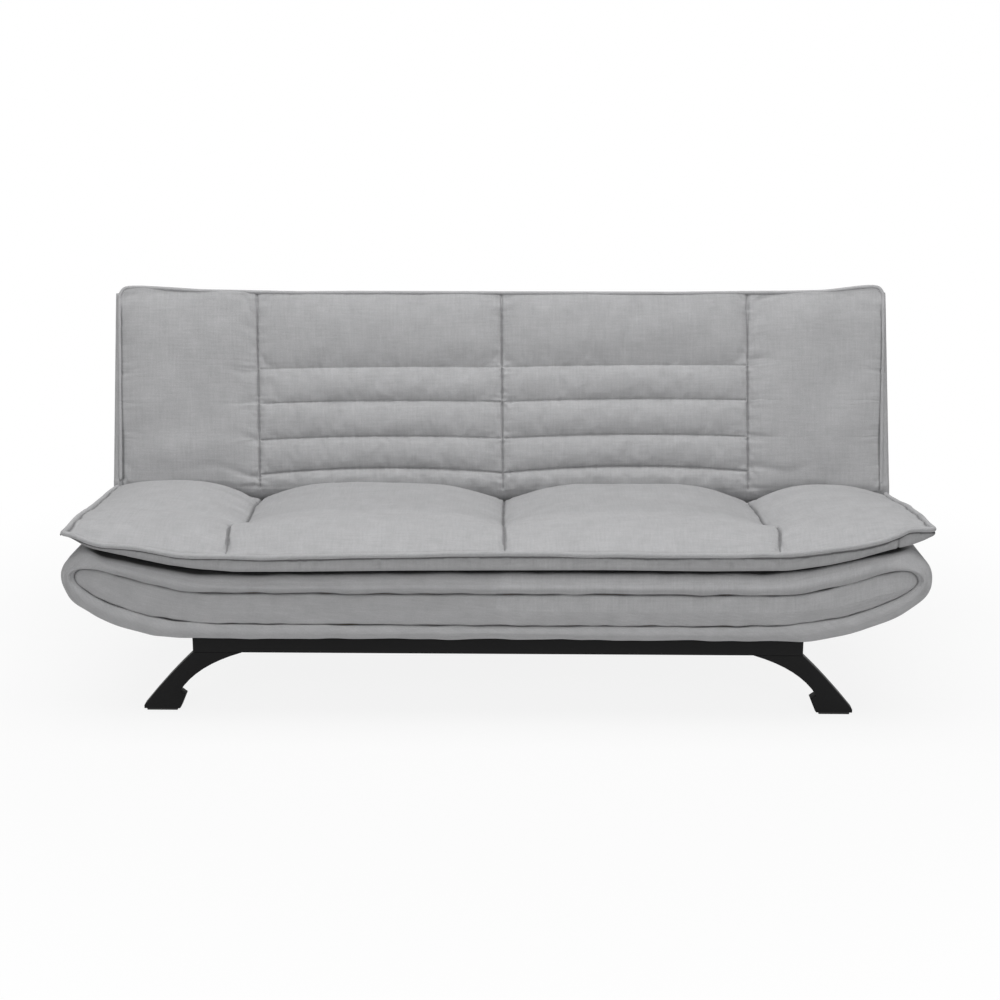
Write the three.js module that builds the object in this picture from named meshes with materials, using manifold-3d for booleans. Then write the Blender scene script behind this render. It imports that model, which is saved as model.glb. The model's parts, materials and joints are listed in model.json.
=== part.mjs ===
// A click clack sofa bed: a padded seat on a boat-shaped upholstered base, carried by a black steel
// underframe, with a padded back that folds down flat on two ratchet hinges.
// Millimetres. +Z is up, +Y points from the front of the sofa to its back, and +X runs along it.
// Heights are from the floor and depths from the front edge of the seat. The backrest is drawn lying
// flat, and one group turns it up to where it stands.

import * as THREE from 'three';
import { mergeVertices } from 'three/addons/utils/BufferGeometryUtils.js';
import Module from 'manifold-3d';

const wasm = await Module();
wasm.setup();

const { smoothstep, lerp, degToRad } = THREE.MathUtils;

// Sizes that every piece shares
const clearance = 0.3; // between two pieces that touch
const overrun = 2; // how far a cutter passes the piece it cuts
const halfWidth = 985; // of the whole sofa
const roundSegments = 12;
const rollSegments = 3;
const hullSteps = { outer: 8, inner: 4 };
const searchSteps = 24;
const boardThickness = 18;

// The hinge line and the crease. Both pads are rounded to the same radius about it, so that they
// pass each other as the back swings.
const pivot = { depth: 598, height: 366 };
const crease = { radius: 50, padGap: 17, frameGap: 48, padUnderside: 4 };
const uprightDegrees = 75; // the back turns up by this much from lying flat

// The seat pad, a box cushion with four columns and ends that sweep up to the corners
const seat = {
  frontThickness: 40, frontRoll: 95, crown: 22,
  seamCrownShare: 0.4, gussetPinch: 6, endPinchShare: 0.3, endEdge: 14, seamShoulder: 14,
  tuftDepth: 9, tuftReach: 55, tuftDepthShare: 0.46,
  topRise: 59, undersideRise: 62, riseFadeStart: 470, riseFadeEnd: 545,
  rearRiseShare: 0.5, crownFadeStart: 515, crownEndShare: 0.7, frontRowShare: 0.005,
};

// The base under it: its front face is the outline of a boat with a sewn inset panel
const base = {
  widestDrop: 12, boardDrop: 18, bottomHeight: 206, frontDepth: 12, panelThickness: 42, panelRoll: 13,
  rearPanelThickness: 12, dustCoverThickness: 5,
  insetRecess: 9, insetRoll: 5, insetProud: 3, insetGap: 0.6,
  endLag: 22, endSag: 1, endRoundShare: 0.85,
};
// Control points of the two curves under each end: shares of the way from the flat bottom's end out
// to the widest point, and from the bottom up to it
const hullShares = [[1, 0.618], [0.812, 0.263], [0.565, 0.0987], [0.424, 0.0046], [0.212, 0]];
// The inset panel's upper and lower edges and its round end: shares of the base's half width, and of
// the height from its bottom to its widest point
const insetStartShare = [0.65, 0.73];
const insetUpperShares = [[0.726, 0.73], [0.782, 0.842], [0.841, 0.947]];
const insetEndShares = [
  [0.895, 1.05], [0.975, 1.22], [0.97, 0.96], [0.965, 0.8], [0.884, 0.552], [0.803, 0.401],
];
const insetLowerShares = [[0.731, 0.276], [0.65, 0.2434], [0.548, 0.2434]];

// How far short of the sofa's ends each of these stops: the seat pad, the base's upper corners, the
// face of the back pad, the outer seams, the seat's upward sweep above and below, the flat of the
// hull, the boarded frames, the rails and the cross bars
const endInset = {
  seat: 13, topCorner: 44, backFace: 20, seam: 365, rise: 285, undersideRise: 305, hullFlat: 425,
  boards: 285, rail: 274, crossBar: 425,
};

// Zigzag springs: wire bent in waves, with a felt deck on those of the seat
const spring = { wireRadius: 2, waveReach: 22, waves: 8, stepsPerWave: 6, wireSides: 4 };
const seatSpringShares = [-0.72, -0.24, 0.24, 0.72];
const backSpringShares = [-0.6, 0, 0.6];

// The underframe: rectangular steel tubes, and four legs pressed from sheet
const rail = { height: 60, depth: 30, wall: 2, frontDepth: 95, rearDepth: 760 };
const crossBar = { width: 30, height: 40 };
// Places along a leg are measured out from the end of its rail, and heights from the floor
const leg = {
  wall: 4, footOut: 121, footIn: 37, knee: 35, kneeHeight: 48, toeHeight: 13, topIn: -114,
  nub: 22, nubHeight: 38, heelHeight: 9, outerBow: 57, outerBowHeight: 92, innerBow: -6,
  innerBowHeight: 113, curveSteps: 8, pocketStartShare: 0.08, pocketEndShare: 0.8,
};
const glide = { thickness: 5, width: 24, endMargin: 6 };

// The backrest, lying flat: its pad, a boarded frame behind it, padded ends and a padded rear panel
const back = {
  length: 545, edgeHeight: 44, seamSink: 7, crown: 8, cornerRise: 13, cornerReach: 65,
  channelShoulder: 13, firstChannel: 85, channelPitch: 87.5,
  channels: 4, topEdgeRound: 14, sidePinchShare: 0.45, creaseFade: 85, topFadeShare: 0.8,
  frameDepth: 110, rearPanelThickness: 38, rearRoll: 12, topCoverThickness: 20, endDepth: 20,
};

// The two hinges: steel plates side by side, a pivot rivet, a sprung pawl and a stop pin
const hinge = {
  plate: 3, eyeRadius: 15, pivotHole: 6, armLength: 200, neckHalfWidth: 12,
  seatArmTop: -36, seatArmBottom: -60, backArmTop: -21, backArmBottom: -45,
  toothRadius: 28, rootRadius: 23, pinHole: 4.3, boltShare: 0.85,
  stopX: 32, stopLobeRadius: 8, stopRadius: 4, pawlX: -22, pawlZ: -48, pawlBossRadius: 8, noseGap: 0.4,
  noseLeft: 3.5, noseRight: 3, noseNeck: 7.5, shelfLeft: 9, shelfRight: 1, shelfReach: 8, springRadius: 3,
  springLength: 14.4, headThickness: 2.5, pivotHead: 9, pinHead: 6.5, linkStart: 30,
};
// The pawl's belly, in shares of its pin's place, and the link from the back arm's eye to the arm
// itself, in shares of the eye's radius
const pawlBellyShares = [[0.77, 1.135], [1.23, 0.875]];
const backLinkShares = [[0.27, 1.53], [2, 3], [4, 3], [4, 1.4], [2.67, 1.4], [0.93, -0.33]];
// Angles about the pivot, on the back plate as it lies flat
const sectorDegrees = [200, 300];
const toothDegrees = [[202, 211], [237, 251]];
const bolt = { headRadius: 8, headThickness: 4, shankRadius: 4, length: 18 };

// How round the padding swells: a high power is flat with steep sides
const roundness = { column: 2.6, channel: 2.4, backColumn: 0.6, sweep: 1.5, tuft: 2 };

// Where each loft has a row of points. Rows across a pad are shares of its depth or length, rows
// towards an end are shares of the way out to it, and rows round an edge are shares of the turn.
const middleColumnShares = [0.1, 0.25, 0.5, 0.75, 0.9];
const sideColumnShares = [0.15, 0.35, 0.55, 0.75, 0.9];
const undersideRowShares = [0.3, 0.6, 0.8, 0.86, 0.91, 0.96];
const seatRowShares = [0.84, 0.72, 0.6, 0.52, 0.46, 0.4, 0.3, 0.2, 0.12, 0.06, 0.02, 0];
const creaseTurnShares = [0, 0.25, 0.5, 0.75, 1];
const cornerTurnShares = [0.25, 0.5, 0.75, 0.92];
const baseEndShares = [0, 0.2, 0.4, 0.6, 0.76, 0.86, 0.93, 0.97, 1];
const backEndShares = [0, 0.3, 0.55, 0.75, 0.88, 0.96, 1];
const backTopBandShares = [0.25, 0.75, 0.92];
const backUndersideShares = [0.2, 0.5, 0.8];

const fabric = new THREE.MeshStandardMaterial({ color: 0xa9a9a9, roughness: 0.95, metalness: 0 });
const darkCloth = new THREE.MeshStandardMaterial({ color: 0x2a2a2a, roughness: 0.95, metalness: 0 });
const felt = new THREE.MeshStandardMaterial({ color: 0xd8d4c8, roughness: 1, metalness: 0 });
const timber = new THREE.MeshStandardMaterial({ color: 0xc19a6b, roughness: 0.8, metalness: 0 });
const blackSteel = new THREE.MeshStandardMaterial({ color: 0x1f1f1f, roughness: 0.45, metalness: 0.6 });
const zincSteel = new THREE.MeshStandardMaterial({ color: 0xb4b6b8, roughness: 0.35, metalness: 1 });
const blackPlastic = new THREE.MeshStandardMaterial({ color: 0x151515, roughness: 0.6, metalness: 0 });

// Sizes that follow from those above
const span = Object.fromEntries(Object.entries(endInset).map(([part, inset]) => [part, halfWidth - inset]));
const surfaceHeight = pivot.height + crease.radius;
const seatBottom = pivot.height + crease.padUnderside;
const seatFrontTop = seatBottom + seat.frontThickness;
const widestHeight = seatBottom - base.widestDrop;
const boardTop = seatBottom - base.boardDrop;
const padRear = pivot.depth - crease.padGap;
const baseRear = pivot.depth - crease.frameGap;
const frontPanelRear = base.frontDepth + base.panelThickness;
const rearPanelFront = baseRear - base.rearPanelThickness;
const boardBottom = base.bottomHeight + base.dustCoverThickness + clearance;
const baseTop = seatBottom - clearance;
const railTop = base.bottomHeight - clearance;
const railBottom = railTop - rail.height;
const legTop = railBottom - clearance;
const bulkheadOuter = span.boards + boardThickness;
const backFrameTop = crease.padUnderside - clearance;
const backRear = backFrameTop - back.frameDepth - clearance - back.rearPanelThickness;
const seatPlateInner = span.boards - clearance - hinge.plate;
const backPlateInner = seatPlateInner - clearance - hinge.plate;
const wireHeight = spring.wireRadius + clearance;
const boltReach = hinge.boltShare * hinge.armLength;

// Turns a geometry into a solid that can be joined and cut
function solidFrom(geometry) {
  const bare = geometry.clone();
  bare.deleteAttribute('normal');
  bare.deleteAttribute('uv');
  const merged = mergeVertices(bare);
  return new wasm.Manifold(new wasm.Mesh({
    numProp: 3,
    vertProperties: Float32Array.from(merged.attributes.position.array),
    triVerts: Uint32Array.from(merged.index.array),
  }));
}

// Turns a solid back into a geometry
function geometryFrom(solid) {
  const mesh = solid.getMesh();
  const geometry = new THREE.BufferGeometry();
  geometry.setAttribute('position', new THREE.BufferAttribute(Float32Array.from(mesh.vertProperties), 3));
  geometry.setIndex([...mesh.triVerts]);
  geometry.computeVertexNormals();
  return geometry;
}

function join(geometries) {
  return geometryFrom(geometries.map(solidFrom).reduce((whole, next) => whole.add(next)));
}

function cut(geometry, cutters) {
  const whole = solidFrom(geometry);
  return geometryFrom(cutters.map(solidFrom).reduce((rest, next) => rest.subtract(next), whole));
}

function piece(name, geometry, material) {
  const mesh = new THREE.Mesh(geometry, material);
  mesh.name = name;
  return mesh;
}

// A flat outline from its corners
function outline(corners) {
  return new THREE.Shape(corners.map(([u, v]) => new THREE.Vector2(u, v)));
}

function rectangle(left, right, bottom, top) {
  return outline([[left, bottom], [right, bottom], [right, top], [left, top]]);
}

function disc(u, v, radius) {
  return new THREE.Shape().absarc(u, v, radius, 0, 2 * Math.PI);
}

// An outline in Y and Z, made thick along X from x = start
function alongX(shape, start, thickness) {
  const geometry = new THREE.ExtrudeGeometry(shape, {
    depth: thickness, bevelEnabled: false, curveSegments: roundSegments / 2,
  });
  const turn = new THREE.Matrix4().makeBasis(
    new THREE.Vector3(0, 1, 0), new THREE.Vector3(0, 0, 1), new THREE.Vector3(1, 0, 0),
  );
  return geometry.applyMatrix4(turn).translate(start, 0, 0);
}

// An outline in X and Z, made thick along Y from y = start, with its edges rolled if wanted
function alongY(shape, start, thickness, roll = 0, shrink = 0) {
  const geometry = new THREE.ExtrudeGeometry(shape, {
    depth: thickness - 2 * roll, bevelEnabled: roll > 0, bevelThickness: roll, bevelSize: roll,
    bevelOffset: -roll - shrink, bevelSegments: rollSegments, curveSegments: roundSegments / 2,
  });
  const turn = new THREE.Matrix4().makeBasis(
    new THREE.Vector3(1, 0, 0), new THREE.Vector3(0, 0, 1), new THREE.Vector3(0, -1, 0),
  );
  return geometry.applyMatrix4(turn).translate(0, start + thickness - roll, 0);
}

// A block between two corners
function block(low, high) {
  return alongX(rectangle(low[1], high[1], low[2], high[2]), low[0], high[0] - low[0]);
}

// The start along X of a layer that lies between two distances from the middle, on either side
function layerStart(side, inner, thickness) {
  return side > 0 ? inner : -inner - thickness;
}

// A turned piece with its axis along X, from a profile of [distance along, radius] that starts and
// ends on the axis
function turned(profile) {
  const points = profile.map(([along, radius]) => new THREE.Vector2(radius, along));
  return new THREE.LatheGeometry(points, roundSegments).rotateZ(-Math.PI / 2);
}

// A closed body through loops of [y, z] points, one loop at each station along X
function loft(stations, loopAt) {
  const loops = stations.map(loopAt);
  const count = loops[0].length;
  const positions = loops.flatMap((loop, i) => loop.flatMap(([y, z]) => [stations[i], y, z]));
  const faces = [];
  for (let i = 0; i + 1 < stations.length; i += 1) {
    for (let j = 0; j < count; j += 1) {
      const next = (j + 1) % count;
      const [a, b] = [i * count + j, i * count + next];
      faces.push(a, b, b + count, a, b + count, a + count);
    }
  }
  for (const [i, flip] of [[0, true], [stations.length - 1, false]]) {
    const middle = [0, 1].map((k) => loops[i].reduce((sum, point) => sum + point[k], 0) / count);
    const centre = positions.length / 3;
    positions.push(stations[i], ...middle);
    for (let j = 0; j < count; j += 1) {
      const [a, b] = [i * count + j, i * count + ((j + 1) % count)];
      faces.push(centre, flip ? b : a, flip ? a : b);
    }
  }
  const geometry = new THREE.BufferGeometry();
  geometry.setAttribute('position', new THREE.Float32BufferAttribute(positions, 3));
  geometry.setIndex(faces);
  geometry.computeVertexNormals();
  return geometry;
}

// The same distances on both sides of the middle, in rising order
function mirrored(distances) {
  const far = distances.filter((x) => x > 0);
  return [...far.map((x) => -x).reverse(), ...distances.filter((x) => x === 0), ...far];
}

// How far a place is between the seams of its column: 0 on a seam or at the end, 1 midway
function columnShare(x, seamX, endX) {
  const away = Math.abs(x);
  const along = away < seamX ? away / seamX : (away - seamX) / (endX - seamX);
  return Math.max(0, 1 - Math.abs(2 * along - 1) ** roundness.column);
}

// Stations along X for a pad whose columns meet at the middle and at seamX
function padStations(seamX, faceEndX, shoulder, endDistances) {
  return mirrored([
    0, shoulder, ...middleColumnShares.map((share) => share * seamX),
    seamX - shoulder, seamX, seamX + shoulder,
    ...sideColumnShares.map((share) => lerp(seamX, faceEndX, share)), ...endDistances,
  ]);
}

// How much of the ends' upward sweep is left at a depth: all at the front, none at the crease
function sweepShare(y) {
  const fade = 1 - smoothstep(y, seat.riseFadeStart, seat.riseFadeEnd);
  return lerp(1, seat.rearRiseShare, y / seat.riseFadeEnd) * fade;
}

function endShare(x, startX) {
  return Math.max(0, (Math.abs(x) - startX) / (span.seat - startX));
}

function undersideHeight(x, y) {
  return seatBottom + seat.undersideRise * endShare(x, span.undersideRise) * sweepShare(y);
}

// What the seat's crown, its sewn tufts and the sweep of its ends add to its surface
function seatLift(x, y) {
  const seams = columnShare(x, span.seam, span.seat);
  const arcStart = padRear - crease.radius;
  const crownFadeEnd = lerp(arcStart, padRear, seat.crownEndShare);
  const along = smoothstep(y, 0, seat.frontRoll) * (1 - smoothstep(y, seat.crownFadeStart, crownFadeEnd));
  const crown = seat.crown * along * lerp(seat.seamCrownShare, 1, seams);
  const fromTuft = Math.abs(y - seat.tuftDepthShare * padRear) / seat.tuftReach;
  const tuft = seat.tuftDepth * Math.max(0, 1 - fromTuft) * (1 - seams) ** roundness.tuft;
  return crown - tuft + seat.topRise * endShare(x, span.rise) ** roundness.sweep * sweepShare(y);
}

// The rounded edge of a pad at the crease, as [distance from the pivot, height above it], from the
// pad's underside up to its surface
function creaseArc(underside) {
  const start = Math.asin(underside / crease.radius);
  return creaseTurnShares.map((share) => {
    const angle = lerp(start, Math.PI / 2, share);
    const reach = crease.padGap + crease.radius * (1 - Math.cos(angle));
    return [reach, crease.radius * Math.sin(angle)];
  });
}

// The seat pad's outline at a distance from the middle: its underside, crease, top and front gusset
function seatLoop(x) {
  const bottom = [seat.frontRowShare, ...undersideRowShares].map((share) => share * padRear);
  const top = seatRowShares.map((share) => share * padRear);
  const arc = creaseArc(seatBottom - pivot.height);
  const surface = (y) => lerp(seatFrontTop, surfaceHeight, smoothstep(y, 0, seat.frontRoll));
  const loop = [
    ...bottom.map((y) => [y, undersideHeight(x, y)]),
    ...arc.map(([reach, up]) => {
      const y = pivot.depth - reach;
      const lift = up > crease.radius / 2 ? seatLift(x, y) : 0;
      return [y, pivot.height + up + lift];
    }),
    ...top.map((y) => [y, surface(y) + seatLift(x, y)]),
  ];
  const frontTop = loop[loop.length - 1][1];
  loop.push([seat.gussetPinch, (frontTop + loop[0][1]) / 2]);
  if (Math.abs(x) < span.seat) return loop;
  return loop.map(([y, z]) => {
    const middle = (undersideHeight(x, y) + surface(y) + seatLift(x, y)) / 2;
    return [y, lerp(z, middle, seat.endPinchShare)];
  });
}

function makeSeatPad() {
  const stations = padStations(span.seam, span.seat, seat.seamShoulder, [
    span.seat - seat.endEdge, span.seat,
  ]);
  return piece('seat_pad', loft(stations, seatLoop), fabric);
}

// A share of the hull's reach and height, as a point of the outline
function hullPoint([acrossShare, upShare]) {
  return new THREE.Vector2(
    lerp(span.hullFlat, halfWidth, acrossShare),
    lerp(base.bottomHeight, widestHeight, upShare),
  );
}

// The curve under each end of the base, from its widest point to where its bottom is flat
function hullCurves() {
  const [a, b, c, d, e] = hullShares.map(hullPoint);
  return [
    new THREE.CubicBezierCurve(hullPoint([1, 1]), a, b, c),
    new THREE.CubicBezierCurve(c, d, e, hullPoint([0, 0])),
  ];
}

// The height of the hull at a distance from the middle
function hullHeight(x) {
  const away = Math.abs(x);
  const [outer, inner] = hullCurves();
  const curve = away > inner.v0.x ? outer : inner;
  if (away <= curve.v3.x) return curve.v3.y;
  let [low, high] = [0, 1];
  for (let i = 0; i < searchSteps; i += 1) {
    const middle = (low + high) / 2;
    if (curve.getPoint(middle).x > away) low = middle;
    else high = middle;
  }
  return curve.getPoint(low).y;
}

// The base's outline, as high at its ends as the given share of the seat's sweep
function boatShape(sweep) {
  const cornerHeight = baseTop + seat.undersideRise * endShare(span.topCorner, span.undersideRise) * sweep;
  const [outer, inner] = hullCurves();
  const right = [
    ...(sweep > 0 ? [[span.undersideRise, baseTop]] : []), [span.topCorner, cornerHeight],
    ...cornerTurnShares.map((share) => [
      lerp(span.topCorner, halfWidth, Math.sin((share * Math.PI) / 2)),
      lerp(widestHeight, cornerHeight, Math.cos((share * Math.PI) / 2)),
    ]),
    ...outer.getPoints(hullSteps.outer).map((point) => [point.x, point.y]),
    ...inner.getPoints(hullSteps.inner).slice(1).map((point) => [point.x, point.y]),
  ];
  const left = right.map(([x, z]) => [-x, z]).reverse();
  return outline([...right, ...left].reverse());
}

// The inset panel's outline, a racetrack that bends up with the ends of the base
function insetShape() {
  const place = ([acrossShare, upShare], side) => [
    side * acrossShare * halfWidth, lerp(base.bottomHeight, widestHeight, upShare),
  ];
  const shape = new THREE.Shape().moveTo(...place(insetStartShare, -1));
  const curve = (shares, side) => shape.bezierCurveTo(...shares.flatMap((share) => place(share, side)));
  const turnBack = (shares, end) => [...shares.slice(0, -1).reverse(), end];
  const [first, second] = [insetEndShares.slice(0, 3), insetEndShares.slice(3)];
  shape.lineTo(...place(insetStartShare, 1));
  curve(insetUpperShares, 1);
  curve(first, 1);
  curve(second, 1);
  curve(insetLowerShares, 1);
  shape.lineTo(...place(insetLowerShares[2], -1));
  curve(turnBack(insetLowerShares, second[2]), -1);
  curve(turnBack(second, first[2]), -1);
  curve(turnBack(first, insetUpperShares[2]), -1);
  curve(turnBack(insetUpperShares, insetStartShare), -1);
  return shape;
}

function makeFrontPanels() {
  const hull = boatShape(sweepShare(frontPanelRear));
  const panel = alongY(hull, base.frontDepth, base.panelThickness, base.panelRoll);
  const recess = alongY(insetShape(), base.frontDepth - overrun, overrun + base.insetRecess);
  const insetThickness = base.insetRecess - clearance + base.insetProud;
  const inset = alongY(
    insetShape(), base.frontDepth - base.insetProud, insetThickness, base.insetRoll, base.insetGap,
  );
  return [
    piece('base_front_panel', cut(panel, [recess]), fabric),
    piece('base_inset_panel', inset, fabric),
  ];
}

// The padded end of the base: its top follows the seat pad's underside and its bottom the hull
function makeBaseEnd(side) {
  const inner = bulkheadOuter + clearance;
  const stations = baseEndShares.map((share) => lerp(inner, halfWidth, share));
  const [front, rear] = [frontPanelRear + clearance, rearPanelFront - clearance];
  const rows = undersideRowShares.map((share) => share * padRear).filter((y) => y > front && y < rear);
  const depths = [front, ...rows, rear];
  const endLoop = (x) => {
    const past = Math.max(0, (Math.abs(x) - span.topCorner) / (halfWidth - span.topCorner));
    const round = Math.sqrt(Math.max(0, 1 - past ** 2));
    const top = (y) => {
      const height = undersideHeight(Math.min(Math.abs(x), span.topCorner), y + base.endLag) - base.endSag;
      return lerp(widestHeight, height, lerp(1, round, base.endRoundShare));
    };
    const bottom = Math.min(hullHeight(x), widestHeight - clearance);
    return [[front, bottom], [rear, bottom], ...depths.slice().reverse().map((y) => [y, top(y)])];
  };
  const ordered = side > 0 ? stations : stations.map((x) => -x).reverse();
  return piece(`base_end_${sideName(side)}`, loft(ordered, endLoop), fabric);
}

function sideName(side) {
  return side > 0 ? 'right' : 'left';
}

// A hole in an outline
function drill(shape, u, v, radius) {
  shape.holes.push(new THREE.Path().absarc(u, v, radius, 0, 2 * Math.PI, true));
}

function makeBaseFrame() {
  const armMiddle = pivot.height + (hinge.seatArmTop + hinge.seatArmBottom) / 2;
  const frontBoardRear = frontPanelRear + clearance + boardThickness;
  const bulkheads = [-1, 1].map((side) => {
    const shape = rectangle(
      frontBoardRear + clearance, rearPanelFront - clearance, boardBottom, boardTop,
    );
    drill(shape, pivot.depth - boltReach, armMiddle, bolt.shankRadius + clearance);
    const start = layerStart(side, span.boards, boardThickness);
    return piece(`base_bulkhead_${sideName(side)}`, alongX(shape, start, boardThickness), timber);
  });
  const rearHalf = seatPlateInner - clearance;
  const rearBoardRear = rearPanelFront - clearance;
  return [
    ...bulkheads,
    piece('base_front_board', block(
      [-bulkheadOuter, frontPanelRear + clearance, boardBottom],
      [bulkheadOuter, frontBoardRear, boardTop],
    ), timber),
    piece('base_rear_board', block(
      [-rearHalf, rearBoardRear - boardThickness, boardBottom], [rearHalf, rearBoardRear, boardTop],
    ), timber),
    piece('base_dust_cover', block(
      [-bulkheadOuter, frontPanelRear + clearance, base.bottomHeight],
      [bulkheadOuter, rearBoardRear, base.bottomHeight + base.dustCoverThickness],
    ), darkCloth),
    piece('seat_deck', block(
      [-bulkheadOuter, frontPanelRear + clearance, boardTop + 2 * wireHeight],
      [bulkheadOuter, rearBoardRear, baseTop],
    ), felt),
  ];
}

// The rear panel has a slot on each side for the hinge's seat arm
function makeBaseRearPanel() {
  const slotWidth = span.boards - backPlateInner + 2 * clearance;
  const bottom = pivot.height + hinge.seatArmBottom - hinge.springRadius;
  const top = pivot.height + hinge.seatArmTop + hinge.springRadius;
  const slots = [-1, 1].map((side) => {
    const start = layerStart(side, backPlateInner - clearance, slotWidth);
    return block([start, rearPanelFront - overrun, bottom], [start + slotWidth, baseRear + overrun, top]);
  });
  const panel = alongY(boatShape(0), rearPanelFront, base.rearPanelThickness);
  return piece('base_rear_panel', cut(panel, slots), fabric);
}

// Wire bent in flat waves along Y, at a height that rests it on the boards
class WavyWire extends THREE.Curve {
  constructor(start, length) {
    super();
    this.start = start;
    this.length = length;
  }

  getPoint(t, target = new THREE.Vector3()) {
    const wave = spring.waveReach * Math.sin(2 * Math.PI * spring.waves * t);
    return target.set(wave, this.start + this.length * t, 0);
  }
}

function wavySpring(name, x, start, end, height) {
  const section = new THREE.Shape(Array.from({ length: spring.wireSides }, (_, i) => {
    const angle = (2 * Math.PI * i) / spring.wireSides;
    return new THREE.Vector2(spring.wireRadius * Math.cos(angle), spring.wireRadius * Math.sin(angle));
  }));
  const geometry = new THREE.ExtrudeGeometry(section, {
    steps: spring.waves * spring.stepsPerWave, extrudePath: new WavyWire(start, end - start),
  });
  const wire = piece(name, geometry, zincSteel);
  wire.position.set(x, 0, height);
  return wire;
}

function makeSeatSprings() {
  const [front, rear] = [frontPanelRear + boardThickness / 2, rearPanelFront - boardThickness / 2];
  return seatSpringShares.map((share, i) => wavySpring(
    `seat_spring_${i + 1}`, share * span.boards, front, rear, boardTop + wireHeight,
  ));
}

// A rectangular steel tube along X or along Y, open at its ends
function tube(across, up, length, lengthwise) {
  const shape = rectangle(-across / 2, across / 2, 0, up);
  const inner = rectangle(-across / 2 + rail.wall, across / 2 - rail.wall, rail.wall, up - rail.wall);
  shape.holes.push(inner);
  return lengthwise === 'x' ? alongX(shape, -length / 2, length) : alongY(shape, 0, length);
}

function makeRails() {
  const rails = [['front_rail', rail.frontDepth], ['rear_rail', rail.rearDepth]].map(([name, depth]) => {
    const mesh = piece(name, tube(rail.depth, rail.height, 2 * span.rail, 'x'), blackSteel);
    mesh.position.set(0, depth + rail.depth / 2, railBottom);
    return mesh;
  });
  const start = rail.frontDepth + rail.depth + clearance;
  const length = rail.rearDepth - clearance - start;
  const bars = [-1, 1].map((side) => {
    const bar = piece(
      `cross_bar_${sideName(side)}`, tube(crossBar.width, crossBar.height, length, 'y'), blackSteel,
    );
    bar.position.set(side * span.crossBar, start, railTop - crossBar.height);
    return bar;
  });
  return [...rails, ...bars];
}

// A point of a leg's outline, out from the end of its rail
function legPoint(out, height) {
  return new THREE.Vector2(span.rail + out, height);
}

// The two long edges of a leg, from the rail down to the foot
function legEdges() {
  const outer = new THREE.QuadraticBezierCurve(
    legPoint(0, legTop), legPoint(leg.outerBow, leg.outerBowHeight), legPoint(leg.footOut, leg.toeHeight),
  );
  const inner = new THREE.QuadraticBezierCurve(
    legPoint(leg.topIn, legTop), legPoint(leg.innerBow, leg.innerBowHeight),
    legPoint(leg.knee, leg.kneeHeight),
  );
  return [outer, inner];
}

// A leg is pressed sheet: a web in the shape of the leg with a wall turned back all round it
function makeLeg(name, side, webDepth, towardsBack) {
  const [outer, inner] = legEdges();
  const footBottom = glide.thickness + clearance;
  const corners = [
    ...outer.getPoints(leg.curveSteps),
    legPoint(leg.footOut, footBottom), legPoint(leg.footIn, footBottom),
    legPoint(leg.footIn - glide.endMargin / 2, leg.heelHeight), legPoint(leg.nub, leg.nubHeight),
    ...inner.getPoints(leg.curveSteps).reverse(),
  ];
  const pocket = [];
  for (const [edge, other, back] of [[outer, inner, false], [inner, outer, true]]) {
    const run = [];
    for (let i = 0; i <= leg.curveSteps; i += 1) {
      const t = lerp(leg.pocketStartShare, leg.pocketEndShare, i / leg.curveSteps);
      const [here, across] = [edge.getPoint(t), other.getPoint(t)];
      run.push(here.clone().add(across.sub(here).setLength(leg.wall)));
    }
    pocket.push(...(back ? run.reverse() : run));
  }
  const place = (points) => {
    const shape = points.map((p) => [side * p.x, p.y]);
    return outline(side > 0 ? shape.reverse() : shape);
  };
  const body = alongY(place(corners), webDepth, rail.depth);
  const cutStart = towardsBack ? webDepth + leg.wall : webDepth - overrun;
  const cutter = alongY(place(pocket), cutStart, rail.depth - leg.wall + overrun);
  return piece(name, cut(body, [cutter]), blackSteel);
}

function makeLegs() {
  const legs = [];
  const pairs = [['front', rail.frontDepth, true], ['rear', rail.rearDepth, false]];
  for (const [place, depth, towardsBack] of pairs) {
    for (const side of [-1, 1]) {
      legs.push(makeLeg(`leg_${place}_${sideName(side)}`, side, depth, towardsBack));
      const length = leg.footOut - leg.footIn - 2 * glide.endMargin;
      const foot = block(
        [-length / 2, -glide.width / 2, 0], [length / 2, glide.width / 2, glide.thickness],
      );
      const mesh = piece(`glide_${place}_${sideName(side)}`, foot, blackPlastic);
      mesh.position.set(side * (span.rail + (leg.footOut + leg.footIn) / 2), depth + rail.depth / 2, 0);
      legs.push(mesh);
    }
  }
  return legs;
}

// Lines across the back's middle columns where it is sewn through
function channelLines() {
  return Array.from({ length: back.channels }, (_, i) => back.firstChannel + i * back.channelPitch);
}

// How high the back's padding swells along its length: 0 on a sewn line, 1 between two
function channelShare(x, s) {
  const edge = back.length - back.topEdgeRound;
  const topFade = 1 - smoothstep(s, back.length * back.topFadeShare, edge);
  if (Math.abs(x) > span.seam) return smoothstep(s, crease.padGap, back.creaseFade * 2) * topFade;
  const lines = [crease.padGap, ...channelLines(), back.length];
  const after = lines.findIndex((line) => s < line);
  if (after < 1) return 0;
  const along = (s - lines[after - 1]) / (lines[after] - lines[after - 1]);
  return 1 - Math.abs(2 * along - 1) ** roundness.channel;
}

// What the back's seams take from its face, and what its padding adds between them
function backLift(x, s) {
  const seams = columnShare(x, span.seam, span.backFace) ** roundness.backColumn;
  const swell = (back.seamSink + back.crown) * seams * channelShare(x, s) - back.seamSink;
  return swell * smoothstep(s, crease.padGap + crease.radius / 2, back.creaseFade);
}

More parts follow.
